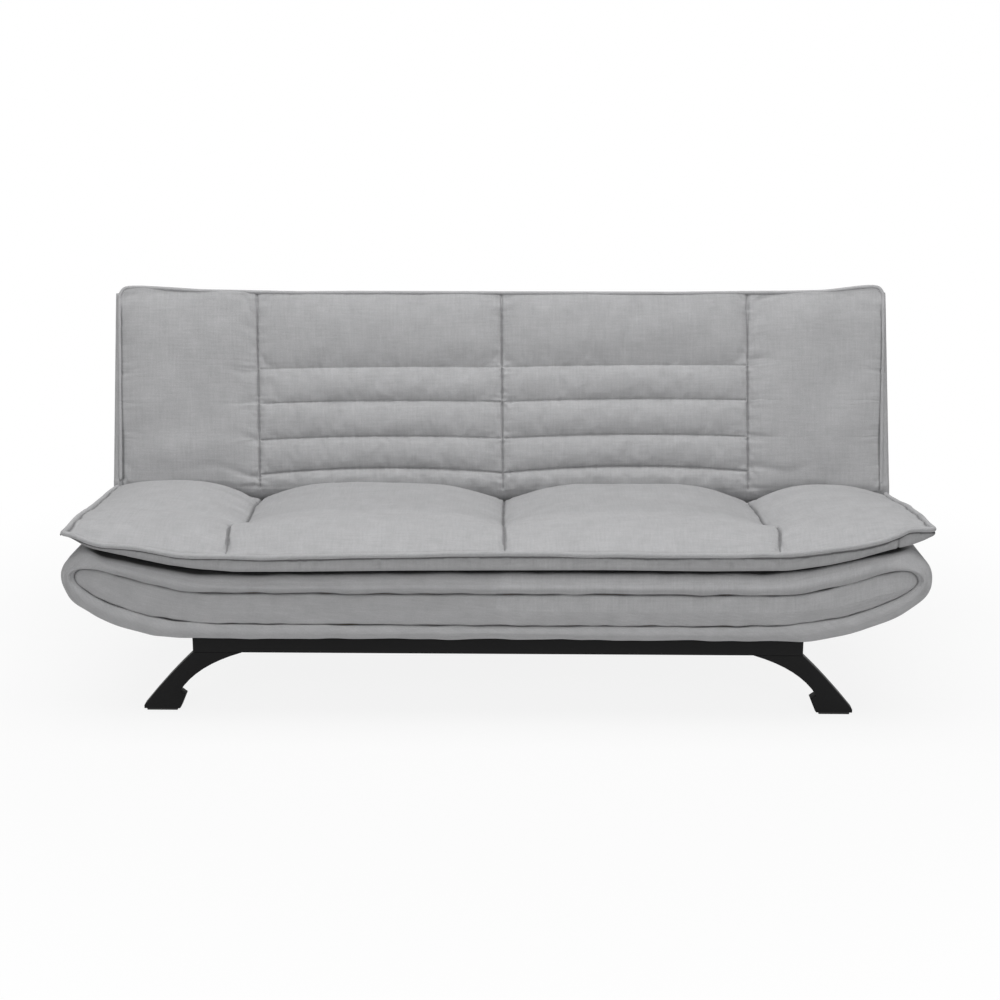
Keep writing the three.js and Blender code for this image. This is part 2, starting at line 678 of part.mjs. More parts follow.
// The back pad's outline at a distance from the middle, as [along the back, above the hinge line]
function backLoop(x) {
  const corner = smoothstep(Math.abs(x), span.backFace - back.cornerReach, span.backFace);
  const topEdge = back.length + back.cornerRise * corner;
  const lines = channelLines();
  const rows = lines.flatMap((line, i) => {
    const next = i + 1 < lines.length ? lines[i + 1] : back.length;
    return [line - back.channelShoulder, line, line + back.channelShoulder, (line + next) / 2];
  });
  const lastLine = lines[lines.length - 1];
  const upper = backTopBandShares.map((share) => lerp(lastLine, back.length, share));
  const faces = [...rows, ...upper].sort((a, b) => b - a);
  const loop = [
    ...backUndersideShares.map((share) => [share * back.length, crease.padUnderside]),
    [topEdge - back.topEdgeRound / 2, crease.padUnderside],
    [topEdge, (back.edgeHeight + crease.padUnderside) / 2],
    [topEdge - back.topEdgeRound / 4, back.edgeHeight],
    ...faces.map((s) => [s, crease.radius + backLift(x, s)]),
    ...creaseArc(crease.padUnderside).reverse(),
  ];
  if (Math.abs(x) <= span.backFace) return loop;
  const middle = (crease.radius + crease.padUnderside) / 2;
  return loop.map(([s, n]) => [s, lerp(n, middle, back.sidePinchShare)]);
}

function makeBackPad() {
  const stations = padStations(span.seam, span.backFace, back.channelShoulder, [
    span.backFace, halfWidth,
  ]);
  return piece('back_pad', loft(stations, backLoop), fabric);
}

// The padded end of the backrest, rounded from its side to its rear
function makeBackEnd(side) {
  const inner = bulkheadOuter + clearance;
  const stations = backEndShares.map((share) => lerp(inner, halfWidth, share));
  const endLoop = (x) => {
    const away = (Math.abs(x) - inner) / (halfWidth - inner);
    const rear = lerp(-back.endDepth, backRear, Math.sqrt(Math.max(0, 1 - away ** 2)));
    const [low, high] = [crease.frameGap, back.length];
    return [
      [low + back.rearRoll * away, rear], [high - back.rearRoll, rear], [high, rear + back.rearRoll],
      [high, backFrameTop], [low, backFrameTop],
    ];
  };
  const ordered = side > 0 ? stations : stations.map((x) => -x).reverse();
  return piece(`back_end_${sideName(side)}`, loft(ordered, endLoop), fabric);
}

function makeBackFrame() {
  const frameRear = backFrameTop - back.frameDepth;
  const boardEnd = back.length - back.topCoverThickness - clearance;
  const armMiddle = (hinge.backArmTop + hinge.backArmBottom) / 2;
  const bottomHalf = backPlateInner - clearance;
  const thickness = bulkheadOuter - seatPlateInner;
  const springSeat = backFrameTop - 2 * wireHeight;
  const bulkheads = [-1, 1].map((side) => {
    const shape = rectangle(crease.frameGap, boardEnd - boardThickness - clearance, frameRear, backFrameTop);
    drill(shape, boltReach, armMiddle, bolt.shankRadius + clearance);
    const start = layerStart(side, seatPlateInner, thickness);
    return piece(`back_bulkhead_${sideName(side)}`, alongX(shape, start, thickness), timber);
  });
  return [
    ...bulkheads,
    piece('back_bottom_board', block(
      [-bottomHalf, crease.frameGap, frameRear], [bottomHalf, crease.frameGap + boardThickness, springSeat],
    ), timber),
    piece('back_top_board', block(
      [-bulkheadOuter, boardEnd - boardThickness, frameRear], [bulkheadOuter, boardEnd, springSeat],
    ), timber),
    piece('back_top_cover', block(
      [-bulkheadOuter, boardEnd + clearance, backRear], [bulkheadOuter, back.length, backFrameTop],
    ), fabric),
    piece('back_rear_panel', block(
      [-bulkheadOuter, crease.frameGap, backRear], [bulkheadOuter, boardEnd, frameRear - clearance],
    ), fabric),
  ];
}

function makeBackSprings() {
  const start = crease.frameGap + boardThickness / 2;
  const end = back.length - back.topCoverThickness - boardThickness / 2;
  const height = backFrameTop - wireHeight;
  return backSpringShares.map((share, i) => wavySpring(
    `back_spring_${i + 1}`, share * span.boards, start, end, height,
  ));
}

// A steel plate cut from several outlines that overlap, with round holes of [y, z, radius]
function plate(shapes, holes, start) {
  const body = join(shapes.map((shape) => alongX(shape, start, hinge.plate)));
  const cutters = holes.map(([y, z, radius]) => alongX(
    disc(y, z, radius), start - overrun, hinge.plate + 2 * overrun,
  ));
  return cut(body, cutters);
}

// A rivet with a head on each face of what it holds
function rivet(name, start, grip, radius, headRadius, y, z) {
  const profile = [
    [0, 0], [0, headRadius], [hinge.headThickness, headRadius], [hinge.headThickness, radius],
    [hinge.headThickness + grip, radius], [hinge.headThickness + grip, headRadius],
    [2 * hinge.headThickness + grip, headRadius], [2 * hinge.headThickness + grip, 0],
  ];
  const mesh = piece(name, turned(profile), zincSteel);
  mesh.position.set(start - hinge.headThickness, y, z);
  return mesh;
}

// The stop pin is level with the back arm's lower edge when the back lies flat
const stopZ = hinge.backArmBottom - clearance - hinge.stopRadius;

// The plate on the base: an eye at the pivot, a neck down to a long arm, a lobe for the stop pin and
// a small shelf under the pawl's spring
function seatArm(side) {
  const start = layerStart(side, seatPlateInner, hinge.plate);
  const shelfTop = hinge.seatArmBottom - clearance;
  const shelfBottom = shelfTop - hinge.plate;
  const armMiddle = (hinge.seatArmTop + hinge.seatArmBottom) / 2;
  const flat = plate([
    disc(0, 0, hinge.eyeRadius),
    rectangle(-hinge.neckHalfWidth, hinge.neckHalfWidth, hinge.seatArmBottom, 0),
    rectangle(-hinge.armLength, hinge.neckHalfWidth, hinge.seatArmBottom, hinge.seatArmTop),
    rectangle(0, hinge.stopX, stopZ - hinge.stopLobeRadius, stopZ + hinge.stopLobeRadius),
    disc(hinge.stopX, stopZ, hinge.stopLobeRadius),
    rectangle(-hinge.shelfLeft, hinge.shelfRight, shelfBottom, hinge.seatArmTop),
  ], [
    [0, 0, hinge.pivotHole], [hinge.stopX, stopZ, hinge.pinHole], [hinge.pawlX, hinge.pawlZ, hinge.pinHole],
    [-boltReach, armMiddle, bolt.shankRadius + clearance],
  ], start);
  const shelfThickness = hinge.plate + hinge.shelfReach;
  const shelfStart = layerStart(side, seatPlateInner - hinge.shelfReach, shelfThickness);
  const shelf = alongX(
    rectangle(-hinge.shelfLeft, hinge.shelfRight, shelfBottom, shelfTop), shelfStart, shelfThickness,
  );
  return piece(`hinge_seat_arm_${sideName(side)}`, join([flat, shelf]), zincSteel);
}

// A slice of a ring about the pivot, from one angle to another
function slice(fromDegrees, toDegrees, radius) {
  const [from, to] = [degToRad(fromDegrees), degToRad(toDegrees)];
  const shape = new THREE.Shape().moveTo(0, 0);
  shape.lineTo(radius * Math.cos(from), radius * Math.sin(from));
  return shape.absarc(0, 0, radius, from, to, false);
}

// The plate on the backrest, as it lies flat: an eye, a toothed sector and an arm
function backArm(side) {
  const start = layerStart(side, backPlateInner, hinge.plate);
  const armMiddle = (hinge.backArmTop + hinge.backArmBottom) / 2;
  const link = backLinkShares.map(([across, down]) => [across * hinge.eyeRadius, -down * hinge.eyeRadius]);
  return piece(`hinge_back_arm_${sideName(side)}`, plate([
    disc(0, 0, hinge.eyeRadius),
    slice(...sectorDegrees, hinge.rootRadius),
    ...toothDegrees.map((range) => slice(...range, hinge.toothRadius)),
    outline(link),
    rectangle(hinge.linkStart, hinge.armLength, hinge.backArmBottom, hinge.backArmTop),
  ], [
    [0, 0, hinge.pivotHole], [boltReach, armMiddle, bolt.shankRadius + clearance],
  ], start), zincSteel);
}

// The pawl, held clear of the teeth: its nose stands straight below the pivot
function pawl(side) {
  const noseZ = -hinge.toothRadius - hinge.noseGap;
  const belly = pawlBellyShares.map(([across, down]) => [across * hinge.pawlX, down * hinge.pawlZ]);
  const shape = outline([
    [-hinge.noseLeft, noseZ], ...belly.slice().reverse(), [hinge.noseRight, noseZ - hinge.noseNeck],
    [hinge.noseRight, noseZ],
  ]);
  const start = layerStart(side, backPlateInner, hinge.plate);
  const geometry = plate([shape, disc(hinge.pawlX, hinge.pawlZ, hinge.pawlBossRadius)], [
    [hinge.pawlX, hinge.pawlZ, hinge.pinHole],
  ], start);
  return piece(`hinge_pawl_${sideName(side)}`, geometry, zincSteel);
}

// The short spring between the shelf and the pawl's belly
function pawlSpring(side) {
  const bottom = hinge.seatArmBottom;
  const middle = backPlateInner + hinge.plate - hinge.springRadius;
  const profile = [
    [0, 0], [0, hinge.springRadius], [hinge.springLength, hinge.springRadius], [hinge.springLength, 0],
  ];
  const mesh = piece(`hinge_pawl_spring_${sideName(side)}`, turned(profile).rotateY(-Math.PI / 2), zincSteel);
  mesh.position.set(side * middle, (hinge.shelfRight - hinge.shelfLeft) / 2, bottom);
  return mesh;
}

// A bolt from the inner face of an arm out through it into a bulkhead
function boltInto(name, side, inner, y, z) {
  const profile = [
    [0, 0], [0, bolt.headRadius], [bolt.headThickness, bolt.headRadius],
    [bolt.headThickness, bolt.shankRadius],
    [bolt.headThickness + bolt.length, bolt.shankRadius], [bolt.headThickness + bolt.length, 0],
  ];
  const geometry = turned(profile);
  if (side < 0) geometry.rotateZ(Math.PI);
  const mesh = piece(name, geometry, zincSteel);
  mesh.position.set(side * (inner - clearance - bolt.headThickness), y, z);
  return mesh;
}

// The pieces of one hinge that stay on the base, placed about the pivot
function makeSeatHinge(side) {
  const name = sideName(side);
  const armMiddle = (hinge.seatArmTop + hinge.seatArmBottom) / 2;
  const both = 2 * hinge.plate + 3 * clearance;
  const gripStart = layerStart(side, backPlateInner - clearance, both);
  const pin = (role, y, z) => rivet(
    `hinge_${role}_pin_${name}`, gripStart, both, hinge.stopRadius, hinge.pinHead, y, z,
  );
  const group = new THREE.Group();
  group.add(
    seatArm(side),
    rivet(`hinge_pivot_${name}`, gripStart, both, hinge.pivotHole - clearance, hinge.pivotHead, 0, 0),
    pin('stop', hinge.stopX, stopZ),
    pawl(side),
    pin('pawl', hinge.pawlX, hinge.pawlZ),
    pawlSpring(side),
    boltInto(`seat_arm_bolt_${name}`, side, seatPlateInner, -boltReach, armMiddle),
  );
  group.position.set(0, pivot.depth, pivot.height);
  return group;
}

function makeBackHinge(side) {
  const armMiddle = (hinge.backArmTop + hinge.backArmBottom) / 2;
  return [
    backArm(side),
    boltInto(`back_arm_bolt_${sideName(side)}`, side, backPlateInner, boltReach, armMiddle),
  ];
}

// The backrest turns about the hinge line from flat to upright
const backrest = new THREE.Group();
backrest.add(
  makeBackPad(), makeBackEnd(-1), makeBackEnd(1), ...makeBackFrame(), ...makeBackSprings(),
  ...makeBackHinge(-1), ...makeBackHinge(1),
);
backrest.rotation.x = degToRad(uprightDegrees);
backrest.position.set(0, pivot.depth, pivot.height);

const sofa = new THREE.Group();
sofa.add(
  ...makeRails(), ...makeLegs(), ...makeFrontPanels(), makeBaseEnd(-1), makeBaseEnd(1), makeBaseRearPanel(),
  ...makeBaseFrame(), ...makeSeatSprings(), makeSeatPad(), makeSeatHinge(-1), makeSeatHinge(1), backrest,
);

// The origin is on the floor, under the middle of the whole sofa
sofa.updateMatrixWorld(true);
const reach = new THREE.Box3().setFromObject(sofa, true);
sofa.position.y = -(reach.min.y + reach.max.y) / 2;

export default sofa;
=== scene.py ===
# %% [markdown]
# # A click clack sofa bed
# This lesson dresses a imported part, a sofa whose back folds down flat, with its cloth, padding, steel
# and timber. The part's solids come first, and each new piece is built around them in the same
# frame, in metres: +X runs along the sofa, +Y goes from its front to its back, and +Z is up.

# %% Load the frame
import json
import math

import bpy
import numpy as np
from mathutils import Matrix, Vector


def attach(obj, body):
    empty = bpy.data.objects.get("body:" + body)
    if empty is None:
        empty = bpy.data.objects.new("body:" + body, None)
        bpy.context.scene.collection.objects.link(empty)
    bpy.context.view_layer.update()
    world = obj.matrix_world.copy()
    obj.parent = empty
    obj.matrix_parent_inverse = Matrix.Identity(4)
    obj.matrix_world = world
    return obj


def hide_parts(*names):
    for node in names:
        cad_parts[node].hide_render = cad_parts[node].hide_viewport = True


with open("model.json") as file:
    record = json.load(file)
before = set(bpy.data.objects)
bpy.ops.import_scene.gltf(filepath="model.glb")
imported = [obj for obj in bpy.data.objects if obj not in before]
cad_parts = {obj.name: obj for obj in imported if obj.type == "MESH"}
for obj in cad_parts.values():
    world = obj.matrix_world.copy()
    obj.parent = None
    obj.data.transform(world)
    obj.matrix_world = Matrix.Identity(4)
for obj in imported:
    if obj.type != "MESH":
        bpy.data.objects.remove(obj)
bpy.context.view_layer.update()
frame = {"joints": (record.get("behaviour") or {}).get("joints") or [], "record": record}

# %% [markdown]
# ## Camera
# The photograph was taken from the front, a little above the seat and a hand's breadth to the right
# of the middle. A lens of about 65 mm from just under four metres keeps the long sofa undistorted.

# %% Place the camera
CAMERA_PLACE = Vector((0.076, -4.309, 1.58))
CAMERA_DOWN = 15.0
CAMERA_TURN = 1.0
LENS_MM = 64.9

camera_data = bpy.data.cameras.new("camera")
camera_data.lens = LENS_MM
camera_data.sensor_width = 36
camera = bpy.data.objects.new("camera", camera_data)
camera.location = CAMERA_PLACE
camera.rotation_euler = (math.radians(90 - CAMERA_DOWN), 0, math.radians(CAMERA_TURN))
bpy.context.collection.objects.link(camera)
bpy.context.scene.camera = camera
bpy.context.scene.view_settings.view_transform = "Standard"

# %% [markdown]
# ## Measures of the sofa
# The hinge line is where the back turns. The seat's front edge lies 598 mm in front of it, and the
# lengths below are counted from that edge, as a seamstress would lay the cover out.

# %% Name the measures
hinge = next(j for j in frame["joints"] if j["name"] == "backrest_hinge")
HINGE_Y, HINGE_Z = hinge["pos_m"][1], hinge["pos_m"][2]
HINGE_DEPTH = 0.598
FRONT_Y = HINGE_Y - HINGE_DEPTH
UPRIGHT = math.radians(75)
END = 0.985
SEAM = 0.620
print("front edge at y =", round(FRONT_Y, 4), "hinge line at z =", HINGE_Z)


def ease(value, low, high):
    """0 below low, 1 above high, and a smooth step between them."""
    t = np.clip((value - low) / (high - low), 0, 1)
    return t * t * (3 - 2 * t)


def mix(a, b, share):
    return a + (b - a) * share


def bell(distance, width):
    """1 at no distance, fading to 0 past the width."""
    return np.exp(-(distance / width) ** 2)


# %% [markdown]
# ## How the cloth pieces are laid out
# Padding is drawn as a tailor's pattern: a grid whose rows and columns follow the seams, so that each
# seam is a line of the mesh. The grid is a primitive, and its vertices are put in their places. Two
# numbers stay on each vertex, how far it lies along each way of the cloth, and the weave follows them.


# %% Make a patterned grid
def deselect():
    if bpy.context.object and bpy.context.object.mode != "OBJECT":
        bpy.ops.object.mode_set(mode="OBJECT")
    bpy.ops.object.select_all(action="DESELECT")


def pick(piece):
    """Makes one piece the active and the only selected one."""
    deselect()
    piece.select_set(True)
    bpy.context.view_layer.objects.active = piece


def edit_all(*steps):
    """Merges the doubles of the active piece and runs more edit-mode steps on the whole of it."""
    bpy.ops.object.mode_set(mode="EDIT")
    bpy.ops.mesh.select_all(action="SELECT")
    bpy.ops.mesh.remove_doubles(threshold=0.00002)
    for step in steps:
        step()
    bpy.ops.object.mode_set(mode="OBJECT")


def note(piece, name, values):
    """Keeps a number on each vertex."""
    layer = piece.data.attributes.get(name) or piece.data.attributes.new(name, "FLOAT", "POINT")
    layer.data.foreach_set("value", np.asarray(values, np.float32).reshape(-1))


def numbers(layer, key, columns=1):
    """The numbers of a layer, a row for each vertex."""
    flat = np.zeros(columns * len(layer), np.float32)
    layer.foreach_get(key, flat)
    return flat.astype(float).reshape(-1, columns)


def noted(piece, name):
    return numbers(piece.data.attributes[name].data, "value")[:, 0]


def places(piece):
    return numbers(piece.data.vertices, "co", 3)


def facing(piece):
    """The direction each vertex faces."""
    return numbers(piece.data.vertex_normals, "vector", 3)


def put(piece, points):
    piece.data.vertices.foreach_set("co", np.asarray(points, float).reshape(-1))
    piece.data.update()


def run_lengths(points, axis):
    """How far each point lies along its row or column of the grid."""
    steps = np.linalg.norm(np.diff(points, axis=axis), axis=2)
    first = np.zeros_like(np.take(steps, [0], axis=axis))
    return np.cumsum(np.concatenate([first, steps], axis=axis), axis=axis)


def tailored(name, points, **notes):
    """A primitive grid put at points, given as rows by columns by xyz, with its edges sewn shut."""
    deselect()
    rows, columns = points.shape[:2]
    bpy.ops.mesh.primitive_grid_add(x_subdivisions=columns - 1, y_subdivisions=rows - 1)
    piece = bpy.context.object
    piece.name = name
    put(piece, points)
    kept = {"cloth_u": run_lengths(points, 1), "cloth_v": run_lengths(points, 0),
            "seam": np.zeros(rows * columns), **notes}
    for key, values in kept.items():
        note(piece, key, values)
    pick(piece)
    edit_all(bpy.ops.mesh.normals_make_consistent)
    bpy.ops.object.shade_smooth()
    print(name, "laid out with", len(piece.data.vertices), "vertices")
    return piece


def finish_modifier(piece, kind, **settings):
    """Adds a modifier and applies it."""
    pick(piece)
    modifier = piece.modifiers.new(kind.lower(), kind)
    for key, value in settings.items():
        setattr(modifier, key, value)
    bpy.ops.object.modifier_apply(modifier=modifier.name)


# %% [markdown]
# ## Creases and puckers
# Sewn cloth gathers a little along each seam. A sum of many small waves, each with its own direction
# and start, gives that unevenness. The waves come from one fixed seed, so every run is the same.


# %% Make small waves
def waves(points, length, seed, count=14):
    """A smooth random height near -1 to 1, with waves of about the given length."""
    random = np.random.default_rng(seed)
    total = np.zeros(len(points))
    for _ in range(count):
        direction = random.normal(size=3)
        direction /= np.linalg.norm(direction)
        pitch = 2 * math.pi / (length * random.uniform(0.6, 1.7))
        total += np.sin(points @ direction * pitch + random.uniform(0, 2 * math.pi))
    return total / math.sqrt(count)


def stations(marks, step=0.009, fine=0.0012, reach=0.016):
    """Places from the first mark to the last, at most a step apart, and finer near each mark."""
    found = set()
    for low, high in zip(marks[:-1], marks[1:]):
        count = max(2, round((high - low) / step))
        found.update(np.linspace(low, high, count + 1).round(6))
    for mark in marks:
        for share in (0.12, 0.3, 0.6, 1.0):
            for side in (-1, 1):
                place = mark + side * share * reach
                if marks[0] < place < marks[-1]:
                    found.add(round(place, 6))
    ordered = np.array(sorted(found))
    keep = np.concatenate([[True], np.diff(ordered) > fine])
    keep |= np.isin(ordered, np.round(marks, 6))
    return ordered[keep]


# %% [markdown]
# ## The seat cushion's pattern
# The seat is one long box cushion: a top sewn in four columns, a narrow front gusset and a flat
# underside, with ends that sweep up to the corners. A block would need every curve cut into it, so its
# outline across the seat is drawn once, as a function of the place along the sofa, and the grid takes
# one such outline per row.

# %% Seat cushion measures
SEAT_END = 0.972
SEAT_BOTTOM = HINGE_Z + 0.004
SEAT_REAR = HINGE_DEPTH - 0.017
CREASE_RADIUS = 0.050
SEAT_CREST = HINGE_Z + CREASE_RADIUS
TUFT_DEPTH = 0.240
CROWN = 0.026
END_RISE, END_RISE_START = 0.062, 0.680
SWEEP_END = 0.545


def end_rise(x):
    """How far out towards the end of the sofa a place is, easing in after its start."""
    share = np.maximum(0, (np.abs(x) - END_RISE_START) / (SEAT_END - END_RISE_START))
    return share * share * 1.1 / (share + 0.1)


def sweep(y):
    """The share of the ends' rise at a depth: all of it in front and none at the crease."""
    return mix(1, 0.5, y / SWEEP_END) * (1 - ease(y, 0.470, SWEEP_END))


def column_swell(x, end, power):
    """0 on a seam or at the end, 1 midway between two seams."""
    away = np.abs(x)
    share = np.where(away < SEAM, away / SEAM, (away - SEAM) / (end - SEAM))
    return np.maximum(0, 1 - np.abs(2 * share - 1) ** power)


def from_seam(x):
    """The distance to the nearest seam that runs from front to back."""
    return np.minimum(np.abs(x), np.abs(np.abs(x) - SEAM))


# The sewn ends of this seat aren't alike: the right one stands higher. Each end has the heights of
# its side edge from front to back, and how its front edge rises towards it.
EDGE_DEPTHS = [0.000, 0.030, 0.080, 0.150, 0.250, 0.310, 0.400, 0.480, 0.560]
EDGE_HEIGHTS = {-1: [0.460, 0.4575, 0.4605, 0.4605, 0.4502, 0.4443, 0.4378, 0.434, 0.4245],
                1: [0.4805, 0.477, 0.4742, 0.4703, 0.4595, 0.451, 0.4352, 0.4224, 0.413]}
RISE_PLACES = [0.640, 0.706, 0.747, 0.789, 0.844, 0.892, 0.930, 0.972]
RISES = {-1: [0.00, 0.02, 0.08, 0.17, 0.36, 0.66, 0.85, 1.00],
         1: [0.00, 0.11, 0.25, 0.42, 0.62, 0.85, 0.95, 1.00]}

# The front edge isn't straight either. These are the heights of its piping and of the gusset's foot.
FRONT_PLACES = [-0.972, -0.947, -0.924, -0.902, -0.879, -0.857, -0.823, -0.790, -0.756, -0.723,
    -0.689, -0.621, -0.531, -0.441, -0.328, -0.216, -0.104, 0.009, 0.121, 0.232, 0.344, 0.456,
    0.568, 0.635, 0.679, 0.723, 0.756, 0.790, 0.823, 0.856, 0.877, 0.890, 0.903, 0.913, 0.930,
    0.972]
FRONT_HEIGHTS = [0.4630, 0.4568, 0.4467, 0.4395, 0.4358, 0.4349, 0.4311, 0.4258, 0.4191, 0.4133,
    0.4108, 0.4106, 0.4080, 0.4097, 0.4136, 0.4155, 0.4185, 0.4193, 0.4195, 0.4190, 0.4166, 0.4183,
    0.4199, 0.4193, 0.4235, 0.4299, 0.4349, 0.4385, 0.4443, 0.4526, 0.4599, 0.4660, 0.4695, 0.4783,
    0.4808, 0.4810]
FOOT_PLACES = [-0.968, -0.947, -0.936, -0.913, -0.891, -0.858, -0.824, -0.791, -0.757, -0.690,
    -0.600, -0.442, -0.216, 0.009, 0.233, 0.457, 0.636, 0.724, 0.791, 0.856, 0.889, 0.911, 0.938,
    0.958, 0.972]
FOOT_HEIGHTS = [0.4548, 0.4455, 0.4362, 0.4252, 0.4200, 0.4122, 0.4041, 0.3963, 0.3883, 0.3780,
    0.3706, 0.3721, 0.3757, 0.3775, 0.3792, 0.3775, 0.3800, 0.3934, 0.4073, 0.4249, 0.4335, 0.4375,
    0.4458, 0.4552, 0.4646]


def smooth_table(value, places, heights, reach):
    """A table read between its places, and averaged over a reach so that no corner shows."""
    offsets = np.linspace(-reach, reach, 9)
    weights = np.hanning(11)[1:-1]
    found = sum(w * np.interp(value + o, places, heights) for o, w in zip(offsets, weights))
    return found / weights.sum()


def seat_underside(x, y):
    x, y = np.broadcast_arrays(np.asarray(x, float), np.asarray(y, float))
    rise = END_RISE * end_rise(x) + 0.014 * ease(x, 0.660, 0.900)
    foot = smooth_table(x, FOOT_PLACES, FOOT_HEIGHTS, 0.014)
    return SEAT_BOTTOM + rise * sweep(y) + (foot - (SEAT_BOTTOM + rise)) * (1 - ease(y, 0, 0.120))


def seat_flat(y):
    """The surface where nothing pulls or lifts it: the front roll and then the level of the crease."""
    return mix(SEAT_BOTTOM + 0.039, SEAT_CREST, ease(y, 0, 0.080))


def mound(x, middle, reach):
    """1 in the middle of a column on either side of the sofa, and 0 at its reach."""
    return np.maximum(0, 1 - np.abs((np.abs(x) - middle) / reach) ** 2.2)


def seat_top(x, y):
    x, y = np.broadcast_arrays(np.asarray(x, float), np.asarray(y, float))
    gap = from_seam(x)
    # The foam's crown: lower on the seams, and gone at the front edge and the crease
    along = CROWN * ease(y, 0, 0.100) * (1 - ease(y, 0.500, 0.575))
    on_seam = mix(0.40, 0.80, bell(y - 0.125, 0.085))
    crown = along * mix(on_seam, 1, column_swell(x, SEAT_END, 2.6))
    # The seams pull it down behind the front roll, and a line runs across through the tufts
    pulled = 0.016 * ease(y, 0.170, 0.300) + 0.014 * ease(y, 0.400, 0.540)
    pulled = pulled * np.maximum(0, 1 - gap / 0.190) ** 1.9
    line = bell(y - TUFT_DEPTH, 0.020) * (0.0022 + 0.0045 * np.maximum(0, 1 - gap / 0.120) ** 1.5)
    # The columns are plumper towards the rear
    outer = 0.010 * mound(x, 0.800, 0.150) * ease(y, 0.200, 0.420) * (1 - ease(y, 0.530, 0.580))
    inner = 0.006 * mound(x, 0.310, 0.250) * ease(y, 0.360, 0.460) * (1 - ease(y, 0.515, 0.570))
    level = seat_flat(y) + crown - pulled - line + outer + inner

    def by_side(value, marks, tables, reach):
        left, right = (smooth_table(value, marks, tables[side], reach) for side in (-1, 1))
        return np.where(x < 0, left, right)

    rises = by_side(np.abs(x), RISE_PLACES, RISES, 0.022)
    edge = by_side(y, EDGE_DEPTHS, EDGE_HEIGHTS, 0.030)
    corner = by_side(0.0, EDGE_DEPTHS, EDGE_HEIGHTS, 0.030)
    front = smooth_table(x, FRONT_PLACES, FRONT_HEIGHTS, 0.010) - mix(seat_flat(0), corner, rises)
    return level + rises * (edge - seat_flat(y) - along * on_seam) + front * (1 - ease(y, 0, 0.090))


# The three sewn lines lean to the right towards the front, because the cover was pulled on a little
# askew, and the outer two jump sideways where the tufts hold the cushion down.
DRIFT_DEPTHS = [0.000, 0.050, 0.140, 0.222, 0.252, 0.360, 0.470, 0.560]
DRIFTS = {-SEAM: [0.0090, 0.0080, -0.0020, -0.0040, 0.0190, 0.0160, 0.0106, 0.0106],
          0.0: [0.0197, 0.0180, 0.0155, 0.0140, 0.0120, 0.0100, 0.0096, 0.0096],
          SEAM: [0.0185, 0.0207, 0.0320, 0.0340, 0.0165, 0.0105, 0.0060, 0.0060]}


def free_of_ends(x):
    """1 across the middle of the sofa, and 0 near its ends, where the cover can't slide."""
    return 1 - ease(np.abs(x), 0.700, 0.940)


def seam_drift(x, y):
    """How far the cover has moved sideways."""
    left, middle, right = (smooth_table(y, DRIFT_DEPTHS, moved, 0.010) for moved in DRIFTS.values())
    share = np.clip(x / SEAM, -1, 1)
    drift = middle + np.where(share < 0, (left - middle) * -share, (right - middle) * share)
    return drift * free_of_ends(x)


# %% Draw the seat cushion's outline
TOP_ROWS, ARC_ROWS, FRONT_ROWS, UNDER_ROWS = 62, 12, 11, 22
CREASE_ANGLES = np.linspace(math.asin(0.004 / CREASE_RADIUS), math.pi / 2, ARC_ROWS)[:-1]


def closed_loop(*parts):
    """One outline of all its parts, which ends where it starts."""
    loop = np.concatenate(parts)
    loop[-1] = loop[0]
    return loop


def seat_outline(x):
    """The seat's outline at x, as [depth, height], from the crease to the front and back."""
    arc_y = SEAT_REAR - CREASE_RADIUS
    top_y = arc_y * (1 - np.linspace(0, 1, TOP_ROWS))
    top = np.stack([top_y, seat_top(x, top_y)], 1)
    lift = seat_top(x, np.array([arc_y]))[0] - SEAT_CREST
    lowest = math.sin(CREASE_ANGLES[0])
    share = (np.sin(CREASE_ANGLES) - lowest) / (1 - lowest)
    arc = np.stack([
        SEAT_REAR - CREASE_RADIUS * (1 - np.cos(CREASE_ANGLES)),
        HINGE_Z + CREASE_RADIUS * np.sin(CREASE_ANGLES) + lift * share ** 2,
    ], 1)
    front_z = np.linspace(top[-1, 1], seat_underside(x, 0.0), FRONT_ROWS)[1:]
    bow = 0.0015 * np.sin(np.linspace(0, math.pi, FRONT_ROWS)[1:])
    under_y = np.linspace(0, SEAT_REAR, UNDER_ROWS)[1:]
    under = np.stack([under_y, seat_underside(x, under_y)], 1)
    return closed_loop(arc, top, np.stack([bow, front_z], 1), under)


seat_x = stations([-SEAT_END, -SEAM, 0.0, SEAM, SEAT_END])
loops = np.array([seat_outline(x) for x in seat_x])
print("seat cushion:", len(seat_x), "rows of", loops.shape[1])

# %% Close the ends and lay out the seat cushion
PINCH, TIP_SKIN = 0.66, 0.009


def closed_ends(xs, loops, depths, shares, anchor):
    """Adds rows at both ends whose outlines shrink towards a line, until the two sides meet."""
    new_x, new_loops = list(xs), list(loops)
    for side, end in ((-1, loops[0]), (1, loops[-1])):
        middle = np.stack([end[:, 0], anchor(end, side)], 1)
        for depth, share in zip(depths, shares):
            spot = 0 if side < 0 else len(new_x)
            new_x.insert(spot, side * (abs(xs[0]) + depth))
            new_loops.insert(spot, mix(end, middle, share))
    return np.array(new_x), np.array(new_loops)


def seat_pinch(x, loop):
    """Thins the cushion towards its corners by lifting the underside."""
    depth, height = loop.T
    pinch = PINCH * ease(np.abs(x), 0.890, SEAT_END) ** 1.5 * ease(depth, 0, 0.060)
    low = seat_top(x, np.clip(depth, 0, SEAT_REAR)) - TIP_SKIN
    return np.stack([depth, np.where(height < low, mix(height, low, pinch), height)], 1)


